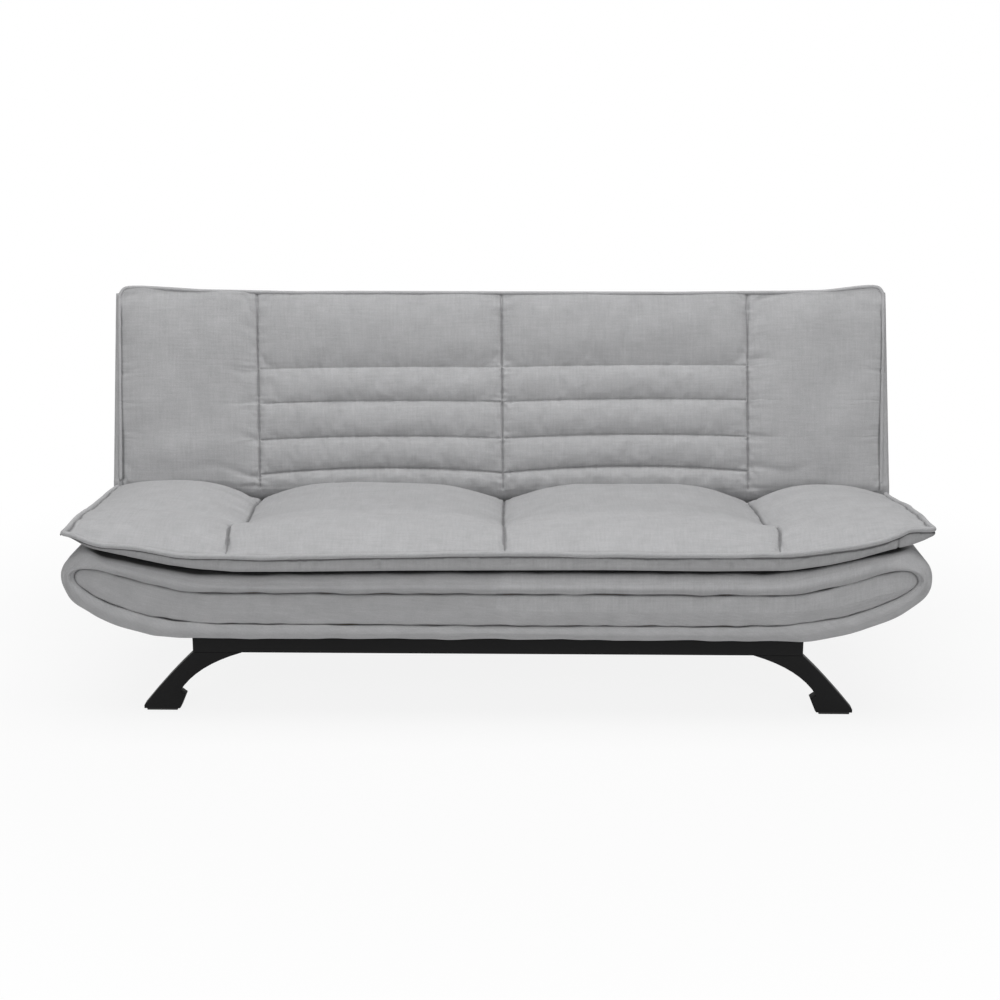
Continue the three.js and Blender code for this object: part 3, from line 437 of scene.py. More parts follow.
def end_middle(end, side):
    """Halfway between the top and the thinned underside, at each place along an end."""
    depth = np.clip(end[:, 0], 0, SEAT_REAR)
    top = seat_top(side * SEAT_END, depth)
    low = mix(seat_underside(side * SEAT_END, depth), top - TIP_SKIN, PINCH * ease(depth, 0, 0.060))
    return 0.45 * top + 0.55 * low


pinched = np.array([seat_pinch(x, loop) for x, loop in zip(seat_x, loops)])
seat_x, pinched = closed_ends(seat_x, pinched, (0.003, 0.0045, 0.005), (0.35, 0.75, 1.0), end_middle)
x_grid = np.repeat(seat_x[:, None], pinched.shape[1], 1)
y_grid, z_grid = pinched[:, :, 0], pinched[:, :, 1]
foot_row = ARC_ROWS + TOP_ROWS + FRONT_ROWS - 3
seat = tailored(
    "seat_cushion", np.stack([x_grid + seam_drift(x_grid, y_grid), FRONT_Y + y_grid, z_grid], 2),
    cloth_v=x_grid, rest_x=x_grid, rest_y=y_grid,
    upper=z_grid > seat_top(x_grid, np.clip(y_grid, 0, SEAT_REAR)) - 0.006,
    beneath=np.tile(np.arange(pinched.shape[1]) > foot_row, (len(seat_x), 1)),
    above_foot=np.maximum(0, z_grid - seat_underside(x_grid, 0 * x_grid)),
)

# %% [markdown]
# ## Filling the seat cushion
# Foam pushes the cover out, and the stitches hold it down. Blender's cloth does the same: the seams
# and edges are pinned, air pressure fills the columns, and the cover finds its own folds. The move of
# each point is capped, so that the cushion keeps its size.

# %% Fill a piece with pressure
PRESSURE, SHRINK, FILL_STEPS = 4.0, -0.012, 18
STITCH_REACH = 0.0022


def filled(piece, pinned, cap):
    """Runs the cloth with some vertices pinned, and moves the piece at most the cap."""
    before = places(piece)
    group = piece.vertex_groups.new(name="sewn")
    group.add(np.nonzero(pinned)[0].tolist(), 1.0, "REPLACE")
    pick(piece)
    cloth = piece.modifiers.new("filling", "CLOTH")
    cloth.settings.vertex_group_mass = group.name
    cloth.settings.use_pressure = True
    cloth.settings.uniform_pressure_force = PRESSURE
    cloth.settings.shrink_min = SHRINK
    cloth.settings.quality = 5
    cloth.settings.bending_stiffness = 0.4
    cloth.settings.effector_weights.gravity = 0
    cloth.point_cache.frame_end = FILL_STEPS
    for step in range(1, FILL_STEPS + 1):
        bpy.context.scene.frame_set(step)
    bpy.ops.object.modifier_apply(modifier=cloth.name)
    bpy.context.scene.frame_set(1)
    moved = places(piece) - before
    length = np.linalg.norm(moved, axis=1)
    limited = cap * np.tanh(length / cap) / np.maximum(length, 1e-9)
    put(piece, before + moved * limited[:, None])
    piece.vertex_groups.clear()
    print(piece.name, "filled; it moved up to", round(float(length.max()) * 1000, 1), "mm")


# %% Pin and fill the seat cushion
rest_x, rest_y, on_top = (noted(seat, key) for key in ("rest_x", "rest_y", "upper"))
pinned = (from_seam(rest_x) < STITCH_REACH) | (np.abs(rest_x) > SEAT_END - 0.004)
pinned |= (rest_y > SEAT_REAR - 0.012) | ((rest_y < 0.0025) & (on_top > 0.5))
pinned |= places(seat)[:, 2] < seat_underside(rest_x, rest_y) + 0.0015
filled(seat, pinned, 0.006)
finish_modifier(seat, "SUBSURF", levels=1, render_levels=1)

# %% [markdown]
# ## Sewing the seat
# The seams come after the filling, because they are narrower than the folds. Each one is a fine
# valley with soft shoulders, and the cloth beside it gathers in short puckers. A number on each
# vertex tells the cloth's material where to darken: along the seams, and as painted shade under and
# beside the piping, on the gusset, over the seat's rear and on its underside in the gap above the
# base, where a value above 1 paints it near black.


# %% Sew the seat's seams
# Painted shade, near black, where the seat overhangs the base: it stands in for the shadow in that gap.
GAP_SHADE = 1.6


def gap_shade_at(x):
    """Painted shade for the dark gap between the seat and the base, which ends short of the sofa's ends.
    """
    return GAP_SHADE * (1 - ease(np.abs(x), 0.900, 0.935))


def pushed(piece, lift):
    """Moves each vertex along its own direction."""
    put(piece, places(piece) + facing(piece) * lift[:, None])


def valley(distance, depth, width):
    return -depth * bell(distance, width)


def crumpled(cloth_at, *rows):
    """Small folds. Each row has where they are, their height, how the cloth is stretched, their length
    and their seed."""
    return sum(where * height * waves(cloth_at * stretch, length, seed)
               for where, height, stretch, length, seed in rows)


rest_x, rest_y, upper = (noted(seat, key) for key in ("rest_x", "rest_y", "upper"))
cloth_at = np.stack([rest_x, rest_y, upper], 1)
upper = ease(upper, 0.2, 0.8)
seam_gap, end_gap = from_seam(rest_x), SEAT_END - np.abs(rest_x)
foot_gap = noted(seat, "above_foot")
edge_gap = np.minimum(rest_y, end_gap)
at_side = ease(rest_y - end_gap, 0.0, 0.015)
at_tip = bell(end_gap, 0.075) * bell(rest_y, 0.075)
gusset = (1 - upper) * (rest_y < 0.010)
on_front = gusset * (end_gap > 0.03) * ease(foot_gap, 0.002, 0.014)
lift = valley(seam_gap, 0.0035, 0.0026) + valley(seam_gap, 0.0025, 0.012)
lift *= upper * ease(rest_y, 0.002, 0.020)
lift += crumpled(
    cloth_at,
    (upper * np.exp(-seam_gap / 0.028), 0.0011, (1, 2.2, 1), 0.030, 11),
    (upper * at_tip, 0.0016, (1.0, 1.3, 1), 0.026, 16),
    (upper * np.exp(-edge_gap / 0.030), 0.0009, (2.0, 1.0, 1), 0.034, 12),
    (upper, 0.0011, (0.7, 1.6, 1), 0.110, 13),
    (on_front, 0.0014, (1, 0.1, 0.1), 0.030, 14),
)
for tuck in np.random.default_rng(15).uniform(-0.90, 0.90, 34):
    lift += on_front * valley(rest_x - tuck, 0.0022, 0.0030)
tip_seam = gusset * bell(rest_x - 0.896, 0.0022)
pushed(seat, lift - 0.0030 * tip_seam)

# %% Darken the seat's seams and paint its shade
below_edge = seat_top(rest_x, 0 * rest_x) - places(seat)[:, 2]
# Painted shade: a dark line just under the piping cord, where its shadow falls on the gusset.
under_piping = (rest_y < 0.010) * bell(below_edge - 0.0092, 0.0023)
# The sewn line beside the piping on the sides, with painted shade of the cord over it.
beside_piping = bell(edge_gap - 0.0070, mix(0.0026, 0.0034, at_side))
beside_piping = upper * beside_piping * mix(0.22, 1.1, at_side)
sewn_seam = upper * bell(seam_gap, 0.0017) * ease(rest_y, 0.004, 0.016)
seam_lines_and_shade = np.clip(sewn_seam + 1.2 * under_piping + beside_piping + 0.7 * tip_seam, 0, 1.2)
# Painted shade over the gusset, deeper towards its foot above the gap.
shaded = gusset * (0.14 + 0.26 * (1 - ease(foot_gap, 0.001, 0.014)))
# Painted shade over the rear of the seat, which faces away from the lamps.
darker_far_part = upper * ease(rest_y, 0.225, 0.285) * mix(0.15, 0.04, ease(np.abs(rest_x), 0.600, 0.660))
# Painted shade on the underside, seen in the gap above the base.
gap_shade = gap_shade_at(rest_x) * noted(seat, "beneath") * (rest_y < 0.500)
note(seat, "seam", np.maximum(seam_lines_and_shade + shaded + darker_far_part, gap_shade))
print("seat cushion sewn:", len(seat.data.polygons), "faces")

# %% [markdown]
# ## Piping
# A cord sewn into a strip of the same cloth runs along the top edge of the seat. It is a ring of
# points carried along the edge, so it follows every curve of the cushion and can't drift from it.


# %% Carry a ring along a path
RING_SIDES = 10


def carried(name, path, radius):
    """A closed tube along a path, tapered to a point over its first and last rows."""
    along = np.gradient(path, axis=0)
    along /= np.linalg.norm(along, axis=1)[:, None]
    up = np.zeros_like(path)
    up[0] = np.cross(along[0], (0, 0, 1) if abs(along[0][2]) < 0.9 else (0, 1, 0))
    for i in range(1, len(path)):
        up[i] = up[i - 1] - along[i] * (up[i - 1] @ along[i])
    up[0] /= np.linalg.norm(up[0])
    up /= np.linalg.norm(up, axis=1)[:, None]
    out = np.cross(along, up)
    radii = np.concatenate([[0, 0.75], np.ones(len(path) - 4), [0.75, 0]]) * radius
    turn = np.linspace(0, 2 * math.pi, RING_SIDES + 1)[None, :, None]
    ring = np.cos(turn) * up[:, None, :] + np.sin(turn) * out[:, None, :]
    return tailored(name, path[:, None, :] + radii[:, None, None] * ring)


def resampled(points, count=None):
    """Evenly spaced points along a broken line: a given number, or else one every 4 mm."""
    run = np.concatenate([[0], np.cumsum(np.linalg.norm(np.diff(points, axis=0), axis=1))])
    at = np.linspace(0, run[-1], count or max(3, round(run[-1] / 0.004) + 1))
    return np.stack([np.interp(at, run, column) for column in points.T], 1)


def rounded(points, window):
    """Rounds the corners of evenly spaced points by averaging neighbours."""
    kernel = np.hanning(window + 2)[1:-1]
    kernel /= kernel.sum()
    half = window // 2
    longer = np.concatenate([
        2 * points[:1] - points[half:0:-1], points, 2 * points[-1:] - points[-2:-half - 2:-1],
    ])
    return np.stack([np.convolve(column, kernel, "valid") for column in longer.T], 1)


def edge_line(left, across, right):
    """One even line up the left side, across, and down the right side."""
    return rounded(resampled(np.concatenate([left, across[1:-1], right[::-1]])), 5)


# %% Pipe the seat's top edge
PIPING_RADIUS = 0.0060
PROUD = 0.0022

side_y, front_x = np.linspace(0.560, 0.0, 60), np.linspace(-SEAT_END, SEAT_END, 240)
left, right = (
    np.stack([np.full(60, side * (SEAT_END + PROUD)), side_y, seat_top(side * SEAT_END, side_y)], 1)
    for side in (-1, 1)
)
front = np.stack([front_x, np.full(240, -PROUD), seat_top(front_x, 0.0)], 1)
seat_edge = edge_line(left, front, right) + (0, FRONT_Y, 0)
sway = [waves(seat_edge, length, seed) for length, seed in ((0.180, 31), (0.150, 32), (0.120, 33))]
seat_edge = seat_edge - (0, 0, 0.0010) + np.stack(sway, 1) * (0.0006, 0.0006, 0.0009)
seat_piping = carried("seat_piping", seat_edge, PIPING_RADIUS)

# %% [markdown]
# ## The back cushion's pattern
# The back is quilted: between its outer seams four sewn lines cross it, each bowed up a little in the
# middle of its panel, and the sides stay plain. It is drawn lying flat, the way it is sewn, and turned
# up about the hinge afterwards.

# %% Back cushion measures
BACK_LENGTH = 0.545
BACK_FACE = 0.965
BACK_LINES = np.array([0.085, 0.1725, 0.2655, 0.3535])
BACK_BOWS = np.array([0.015, 0.008, 0.005, 0.003])
BACK_UNDER = 0.004
TOP_PLACES = [-0.970, -0.941, -0.916, -0.891, -0.840, -0.764, -0.620, -0.511, -0.380, 0.450, 0.620,
    0.703, 0.754, 0.805, 0.830, 0.855, 0.880, 0.906, 0.926, 0.944, 0.970]
TOP_CLIMBS = [0.0105, 0.0117, 0.0122, 0.0105, 0.0080, 0.0032, 0.0008, -0.0012, 0.0000, 0.0000,
    0.0024, 0.0032, 0.0040, 0.0054, 0.0070, 0.0100, 0.0132, 0.0164, 0.0183, 0.0186, 0.0175]


def corner_lift(x):
    """The top edge climbs gently towards both ends and rounds off at the very corner."""
    turned = np.clip((np.abs(x) - BACK_FACE + 0.020) / 0.020, 0, 1)
    return smooth_table(x, TOP_PLACES, TOP_CLIMBS, 0.012) - 0.016 * (1 - np.sqrt(1 - turned ** 2))


def panel_bow(x):
    """1 in the middle of an inner panel, and 0 on its seams and beyond them."""
    share = np.clip(np.abs(x) / SEAM, 0, 1)
    return np.maximum(0, 1 - np.abs(2 * share - 1) ** 2)


def line_at(s, x):
    """Where a straight row goes once the sewn lines are bowed."""
    known = np.concatenate([[0.055], BACK_LINES, [BACK_LENGTH]])
    bows = np.concatenate([[0], BACK_BOWS, [0]])
    tilt = 0.011 * np.clip(x, -SEAM, SEAM) * np.interp(s, known, [0, 1, 1, 1, 1, 0])
    return s + np.interp(s, known, bows) * panel_bow(x) + tilt


def channel_swell(s, inner):
    """0 on a sewn line and 1 midway between two, or one long swell on the plain sides."""
    lines = np.concatenate([[0.017], BACK_LINES, [BACK_LENGTH]])
    after = np.clip(np.searchsorted(lines, s, side="right"), 1, len(lines) - 1)
    share = np.clip((s - lines[after - 1]) / (lines[after] - lines[after - 1]), 0, 1)
    sewn = 1 - np.abs(2 * share - 1) ** 2.4
    plain = ease(s, 0.017, 0.170) * (1 - ease(s, 0.800 * BACK_LENGTH, BACK_LENGTH - 0.008))
    return mix(plain, sewn, inner)


def back_face(x, s):
    """The height of the back's face above the hinge line, as it lies flat."""
    inner = 1 - ease(np.abs(x), SEAM, SEAM + 0.030)
    seams = column_swell(x, BACK_FACE, 2.6) ** 0.6
    swell = 0.0095 * seams * channel_swell(s, inner) - 0.0055
    swell = swell * ease(s, 0.042, 0.085)
    return CREASE_RADIUS + swell - 0.003 * ease(s, 0.50, 0.545)


# %% Draw the back cushion's outline
CREASE_S = 0.067
EDGE_ROWS = 7
back_rows = stations([CREASE_S, *BACK_LINES, BACK_LENGTH - 0.004], 0.0095)


def back_outline(x):
    """The back's outline at x, as [along the back, height above the hinge line]."""
    arc = CREASE_RADIUS * np.stack([-np.cos(CREASE_ANGLES), np.sin(CREASE_ANGLES)], 1) + (CREASE_S, 0)
    arc[:, 0] -= 0.008 * bell(from_seam(x), 0.045) * (1 - np.linspace(0, 1, len(arc))) ** 1.5
    corner = corner_lift(x)
    face_s = line_at(back_rows, x) + corner * ease(back_rows, 0.36, BACK_LENGTH)
    face = np.stack([face_s, back_face(x, back_rows)], 1)
    top_end = BACK_LENGTH + corner
    bow = 0.002 * np.sin(np.linspace(0, math.pi, EDGE_ROWS)[1:])
    edge = np.stack([top_end + bow, np.linspace(face[-1, 1], BACK_UNDER, EDGE_ROWS)[1:]], 1)
    under = np.stack([np.linspace(top_end, arc[0, 0], 20)[1:], np.full(19, BACK_UNDER)], 1)
    return closed_loop(arc, face, edge, under)


def stood_up(x, s, n):
    """Turns a place on the flat back up to where the back stands."""
    y = HINGE_Y + s * math.cos(UPRIGHT) - n * math.sin(UPRIGHT)
    z = HINGE_Z + s * math.sin(UPRIGHT) + n * math.cos(UPRIGHT)
    return np.stack([x, y, z], -1)


def widened(x, s):
    """This back's face is a little wider at its top than at the crease, and its outline narrower."""
    away = np.abs(x)
    climb = np.clip(s / BACK_LENGTH, 0, 1)
    face = np.where(x < 0, 0.9690 + 0.0065 * climb, 0.9640 + 0.0045 * climb)
    outline = np.where(x < 0, 0.9910 - 0.0040 * climb, 0.9895 - 0.0135 * climb)
    near = mix(0.900, face, np.clip((away - 0.900) / (BACK_FACE - 0.900), 0, 1))
    out = mix(face, outline, np.clip((away - BACK_FACE) / (END - BACK_FACE), 0, 1))
    placed = np.sign(x) * np.where(away < 0.900, away, np.where(away < BACK_FACE, near, out))
    at_foot = np.interp(x, [-SEAM, 0, SEAM], (0.008, 0.007, 0.009))
    at_top = np.interp(x, [-SEAM, 0, SEAM], (-0.004, 0, 0.004))
    return placed + mix(at_foot, at_top, climb) * free_of_ends(x)


# %% Lay out the back cushion
back_x = stations([-BACK_FACE, -SEAM, 0.0, SEAM, BACK_FACE])
back_loops = np.array([back_outline(x) for x in back_x])
back_x, back_loops = closed_ends(
    back_x, back_loops, (0.009, 0.0165, 0.0195, 0.0200), (0.06, 0.28, 0.62, 1.0),
    lambda end, side: np.full(len(end), (CREASE_RADIUS + BACK_UNDER) / 2),
)
back_grid = np.repeat(back_x[:, None], back_loops.shape[1], 1)
back_s, back_n = back_loops[:, :, 0], back_loops[:, :, 1]
back = tailored(
    "back_cushion", stood_up(widened(back_grid, back_s), back_s, back_n),
    cloth_u=run_lengths(np.stack([back_grid, back_s, back_n], 2), 1),
    cloth_v=back_grid, rest_x=back_grid,
)


def laid_flat(points):
    """The opposite of stood_up: how far along the flat back, and how high above the hinge line."""
    y, z = points[:, 1] - HINGE_Y, points[:, 2] - HINGE_Z
    s = y * math.cos(UPRIGHT) + z * math.sin(UPRIGHT)
    n = -y * math.sin(UPRIGHT) + z * math.cos(UPRIGHT)
    return s, n


# %% Fill the back cushion
rest_x = noted(back, "rest_x")
away = np.abs(rest_x)
flat_s, flat_n = laid_flat(places(back))
unbowed = flat_s.copy()
for _ in range(6):
    unbowed += flat_s - line_at(unbowed, rest_x)
line_gap = np.min(np.abs(unbowed[:, None] - BACK_LINES[None, :]), axis=1)
line_gap = np.where(away < SEAM + 0.002, line_gap, 1.0)
on_face = (flat_n > back_face(rest_x, unbowed) - 0.006) & (flat_s > 0.024)
note(back, "rest_s", unbowed)
note(back, "line_gap", np.minimum(line_gap, 0.2))
note(back, "upper", on_face & (flat_s < BACK_LENGTH + 0.012) & (away < BACK_FACE + 0.001))
pinned = on_face & (np.minimum(from_seam(rest_x), line_gap) < STITCH_REACH)
pinned |= (away > BACK_FACE - 0.001) | (flat_n < BACK_UNDER + 0.001)
pinned |= (flat_s > BACK_LENGTH - 0.006) | (flat_s < 0.030)
filled(back, pinned, 0.007)
finish_modifier(back, "SUBSURF", levels=1, render_levels=1)

# %% Sew the back's seams and lines
rest_x, rest_s, upper = (noted(back, key) for key in ("rest_x", "rest_s", "upper"))
away = np.abs(rest_x)
upper = ease(upper, 0.2, 0.8)
cloth_at = np.stack([rest_x, rest_s, upper], 1)
line_gap = np.where(away < SEAM + 0.0015, noted(back, "line_gap"), 1.0)
seam_gap, plain_gap, from_piping = from_seam(rest_x), away - SEAM, BACK_FACE - away
nearest = np.minimum(seam_gap, line_gap)
plain = upper * (plain_gap > 0)
pull = np.where(seam_gap < line_gap, 1.0, np.interp(rest_s, BACK_LINES, (0.90, 0.62, 0.52, 0.26)))
lift = upper * pull * (valley(nearest, 0.0032, 0.0022) + valley(nearest, 0.0016, 0.009))
lift += crumpled(
    cloth_at,
    (upper * np.exp(-seam_gap / 0.022), 0.0010, (1, 2.2, 1), 0.028, 21),
    (upper * np.exp(-line_gap / 0.016), 0.0009, (2.2, 1, 1), 0.026, 22),
    (upper, 0.0010, (0.9, 1.4, 1), 0.120, 23),
    (plain * ease(plain_gap, 0, 0.040), 0.0030, (1.0, 0.7, 1), 0.170, 24),
)
# The sewn lines pull a dent into the plain sides, and one more runs in from the piping
DENTS, DENT_REACHES = (0.0060, 0.0040, 0.0030, 0.0040), (0.085, 0.050, 0.035, 0.045)
for line, depth, reach in zip(BACK_LINES, DENTS, DENT_REACHES):
    wander = 0.010 * np.sin(plain_gap * 31 + line * 90) * np.sign(rest_x)
    dent = valley(rest_s - line - wander - 0.12 * plain_gap, depth, 0.011)
    lift += plain * dent * np.exp(-np.maximum(plain_gap, 0) / reach) * ease(plain_gap, 0, 0.006)
dent = valley(rest_s - 0.338 - 0.1 * from_piping, 0.0022, 0.0045)
lift += upper * dent * np.exp(-from_piping / 0.030)
pushed(back, lift)

# %% Darken the back's seams and lines, and paint shade beside its piping
fade_from, fade_to = np.where(rest_x > 0.3, 0.440, 0.470), np.where(rest_x > 0.3, 0.500, 0.535)
seam_tone = 0.62 * (1 - 0.85 * ease(rest_s, fade_from, fade_to))
line_tone = np.interp(rest_s, BACK_LINES, (0.40, 0.20, 0.16, 0.02))
tone = np.where(seam_gap < line_gap, seam_tone, line_tone) * bell(nearest, 0.0015)
# The sewn line beside the piping, with painted shade of the cord over it.
beside_piping = bell(from_piping - 0.0050, 0.0022) * (1 - ease(rest_s, 0.480, 0.530))
# The upper part of the back is made darker.
darker_far_part = 0.09 * ease(rest_s, 0.280, 0.420)
note(back, "seam", upper * np.clip(tone + beside_piping + darker_far_part, 0, 1))
print("back cushion sewn:", len(back.data.polygons), "faces")

# %% Pipe the back's edge
side_s = np.linspace(0.060, BACK_LENGTH - 0.004, 70)
across_x = np.linspace(-BACK_FACE, BACK_FACE, 240)


def side_edge(side):
    climb = corner_lift(side * BACK_FACE) * ease(side_s, 0.36, BACK_LENGTH)
    height = back_face(BACK_FACE, side_s) + 0.0002
    return np.stack([np.full(70, side * BACK_FACE), side_s + climb, height], 1)


top_edge = np.stack([
    across_x, BACK_LENGTH - 0.0015 + corner_lift(across_x),
    back_face(across_x, BACK_LENGTH - 0.004) - 0.0018,
], 1)
edge_x, edge_s, edge_n = edge_line(side_edge(-1), top_edge, side_edge(1)).T
back_piping = carried("back_piping", stood_up(widened(edge_x, edge_s), edge_s, edge_n), 0.0045)

# %% [markdown]
# ## The base's front
# The front of the base is a boat-shaped padded panel with a long inset sewn into it. Both edges are
# drawn with the same number of points, and the cloth between them is a set of rings that roll over
# the outer edge, cross the band and sink into the seam.

# %% Draw the boat outline and the inset's edge
BASE_LOW, BASE_WIDE = 0.208, SEAT_BOTTOM - 0.012


def at_share(share):
    """A place given as shares of the half width and of the height."""
    return np.array([share[0] * END, mix(BASE_LOW, BASE_WIDE, share[1])])


def bend_through(a, b, c, d, count=60):
    """A smooth curve from a to d that is pulled towards b and c on its way."""
    t = np.linspace(0, 1, count)[:, None]
    return (1 - t) ** 3 * a + 3 * (1 - t) ** 2 * t * b + 3 * (1 - t) * t ** 2 * c + t ** 3 * d


# The two ends of this boat were stuffed by hand and differ a little. Each table holds places on the
# outline, as the distance from the middle and the height: the top, the turn of the end, and the hull.
BOAT_TOP = {
    -1: [(0, 0.3690), (0.218, 0.3665), (0.445, 0.3625), (0.604, 0.3598), (0.670, 0.3625)],
    1: [(0, 0.3690), (0.234, 0.3695), (0.459, 0.3690), (0.600, 0.3690), (0.670, 0.3745)],
}
BOAT_RISE = {
    -1: [(0.670, 0.3625), (0.695, 0.3640), (0.762, 0.3745), (0.830, 0.3892), (0.863, 0.3958),
        (0.897, 0.4030), (0.925, 0.4175)],
    1: [(0.670, 0.3745), (0.728, 0.3834), (0.795, 0.3995), (0.861, 0.4150), (0.894, 0.4209),
        (0.925, 0.4300)],
}
BOAT_TURN = {
    -1: [(0.925, 0.4175), (0.944, 0.4190), (0.9564, 0.4084), (0.9674, 0.3989), (0.9767, 0.3893),
        (0.9845, 0.3774), (0.9891, 0.3655), (0.9908, 0.3560)],
    1: [(0.925, 0.4300), (0.939, 0.4277), (0.9485, 0.4183), (0.9569, 0.4090), (0.9649, 0.3996),
        (0.9750, 0.3879), (0.9807, 0.3762), (0.9840, 0.3600)],
}
BOAT_HULL = {
    -1: [(0.9891, 0.3560), (0.9894, 0.3419), (0.9851, 0.3306), (0.9797, 0.3194), (0.9749, 0.3079),
        (0.9674, 0.2961), (0.9544, 0.2841), (0.9371, 0.2722), (0.9185, 0.2603), (0.8921, 0.2484),
        (0.8652, 0.2365), (0.8321, 0.2246), (0.7857, 0.2136), (0.7339, 0.2083), (0.6788, 0.2081)],
    1: [(0.9823, 0.3600), (0.9829, 0.3526), (0.9821, 0.3410), (0.9781, 0.3297), (0.9718, 0.3185),
        (0.9614, 0.3070), (0.9467, 0.2951), (0.9312, 0.2831), (0.9140, 0.2711), (0.8906, 0.2590),
        (0.8639, 0.2468), (0.8324, 0.2347), (0.7896, 0.2224), (0.7577, 0.2156), (0.6988, 0.2083),
        (0.6389, 0.2081)],
}
INSET_SHARES = {
    -1: [(0.65, 0.73), (0.726, 0.73), (0.782, 0.842), (0.841, 0.947), (0.895, 1.05), (0.972, 1.24),
        (0.97, 0.96), (0.965, 0.77), (0.884, 0.495), (0.803, 0.370), (0.731, 0.258), (0.65, 0.240),
        (0.548, 0.2434)],
    1: [(0.65, 0.735), (0.726, 0.745), (0.782, 0.885), (0.841, 1.005), (0.888, 1.115),
        (0.958, 1.27), (0.962, 0.97), (0.957, 0.83), (0.884, 0.575), (0.803, 0.420), (0.731, 0.297),
        (0.65, 0.250), (0.548, 0.2434)],
}


def boat_parts(side):
    """Half of the outline, as five stretches from the middle of the top to that of the bottom."""
    stretches = [np.array(table[side]) for table in (BOAT_TOP, BOAT_RISE, BOAT_TURN, BOAT_HULL)]
    stretches.append(np.array([BOAT_HULL[side][-1], (0, BASE_LOW)]))
    whole = [resampled(part) for part in stretches]
    ends = np.cumsum([len(part) - 1 for part in whole])
    line = rounded(np.concatenate([whole[0][:1]] + [part[1:] for part in whole]), 9)
    return np.split(line, ends[:-1] + 1)


def inset_parts(side):
    shares = [at_share(s) for s in INSET_SHARES[side]]
    upper, tip, turn, lower = shares[:4], shares[3:7], shares[6:10], shares[9:]
    under = np.concatenate([bend_through(*turn), bend_through(*lower)[1:]])
    return [
        np.array([[0, upper[0][1]], upper[0]]), bend_through(*upper), bend_through(*tip), under,
        np.array([lower[3], [0, lower[3][1]]]),
    ]


def half_ring(parts):
    """Joins the stretches, each with a set number of points."""
    half = [parts[0][:1]]
    for part, count in zip(parts, (64, 30, 22, 66, 54)):
        if np.linalg.norm(part[0] - half[-1][-1]) > 1e-9:
            part = np.concatenate([half[-1][-1:], part])
        half.append(resampled(part, count + 1)[1:])
    return np.concatenate(half)


def ring_of(parts):
    """One closed ring from a right half and a left half."""
    return np.concatenate([half_ring(parts(1)), half_ring(parts(-1))[-2::-1] * (-1, 1)])


boat_ring, inset_ring = ring_of(boat_parts), ring_of(inset_parts)
print("rings of", len(boat_ring), "points")


# %% Loft cloth between two rings
BASE_FACE = 0.0095
BAND_REAR = 0.054
GROOVE = BULGE = SEAM_DEPTH = 0.0080
QUARTER = np.linspace(0, math.pi / 2, 8)
BAND = np.linspace(0, 1, 13)[1:]


def between_rings(name, outer, inner, profile, seams):
    """Rings from an outer edge to an inner one. Each step is how far in from the outer edge, how far out
    from the inner one, the share of the way between those two, and the depth. The first may differ from
    point to point. Seams has a row for each step, of seam darkness and painted shade, and below 0 of a
    painted highlight."""
    gap = np.linalg.norm(inner - outer, axis=1)
    toward = (inner - outer) / np.maximum(gap, 1e-6)[:, None]
    rings = []
    for step_in, step_out, share, depth in profile:
        start = outer + toward * np.minimum(step_in, gap * 0.45)[:, None]
        stop = inner - toward * np.minimum(step_out, gap * 0.45)[:, None]
        flat = mix(start, stop, share)
        rings.append(np.stack([flat[:, 0], FRONT_Y + depth + 0 * flat[:, 0], flat[:, 1]], 1))
    return tailored(name, np.array(rings), seam=np.array(seams))


# %% Pad the front: over the outer edge, across the band and down into the seam
boat_x, boat_z = boat_ring.T
roll = mix(0.013, 0.022, ease(boat_z, 0.345, 0.362))
front_steps = [
    (0 * roll, GROOVE, 0, depth) for depth in (BAND_REAR, mix(BAND_REAR, BASE_FACE + 0.018, 0.5))
]
front_steps += [
    (roll * (1 - math.cos(a)), GROOVE, 0, BASE_FACE + 0.016 * (1 - math.sin(a))) for a in QUARTER
]
front_steps += [
    (roll, GROOVE, share, BASE_FACE - BULGE * math.sin(math.pi * share)) for share in BAND
]
front_steps += [
    (roll, GROOVE * (1 - math.sin(a)), 1, BASE_FACE + SEAM_DEPTH * (1 - math.cos(a)))
    for a in QUARTER[1:]
]
# Painted shade in the slot under the seat, on the top of the band's roll.
slot_shade = gap_shade_at(boat_x) * ease(boat_z, 0.350, 0.3585)
stitch = mix(0.95, 0.55, np.maximum(ease(boat_x, 0.700, 0.780), ease(-boat_x, 0.850, 0.900)))
# Painted light: the top of the band is made lighter and its lower part darker, as a lit roll would look,
# by values below 0 that lighten the cloth.
band_light_and_shade = 0.10 * ease(boat_z, 0.340, 0.3585) * (1 + 1.4 * ease(boat_x, -0.70, 0.30))
seam_rows = [slot_shade, slot_shade]
seam_rows += [slot_shade * (1 - ease(a, 0.15, 0.85)) - band_light_and_shade * (i / 7) for i, a in enumerate(QUARTER)]
seam_rows += [-band_light_and_shade * (1 - 1.7 * ease(share, 0.15, 1.0)) for share in BAND]
seam_rows += [stitch * share for share in (0.1, 0.25, 0.6, 1, 1, 1, 1)]
base_front = between_rings("base_front_cover", boat_ring, inset_ring, front_steps, seam_rows)

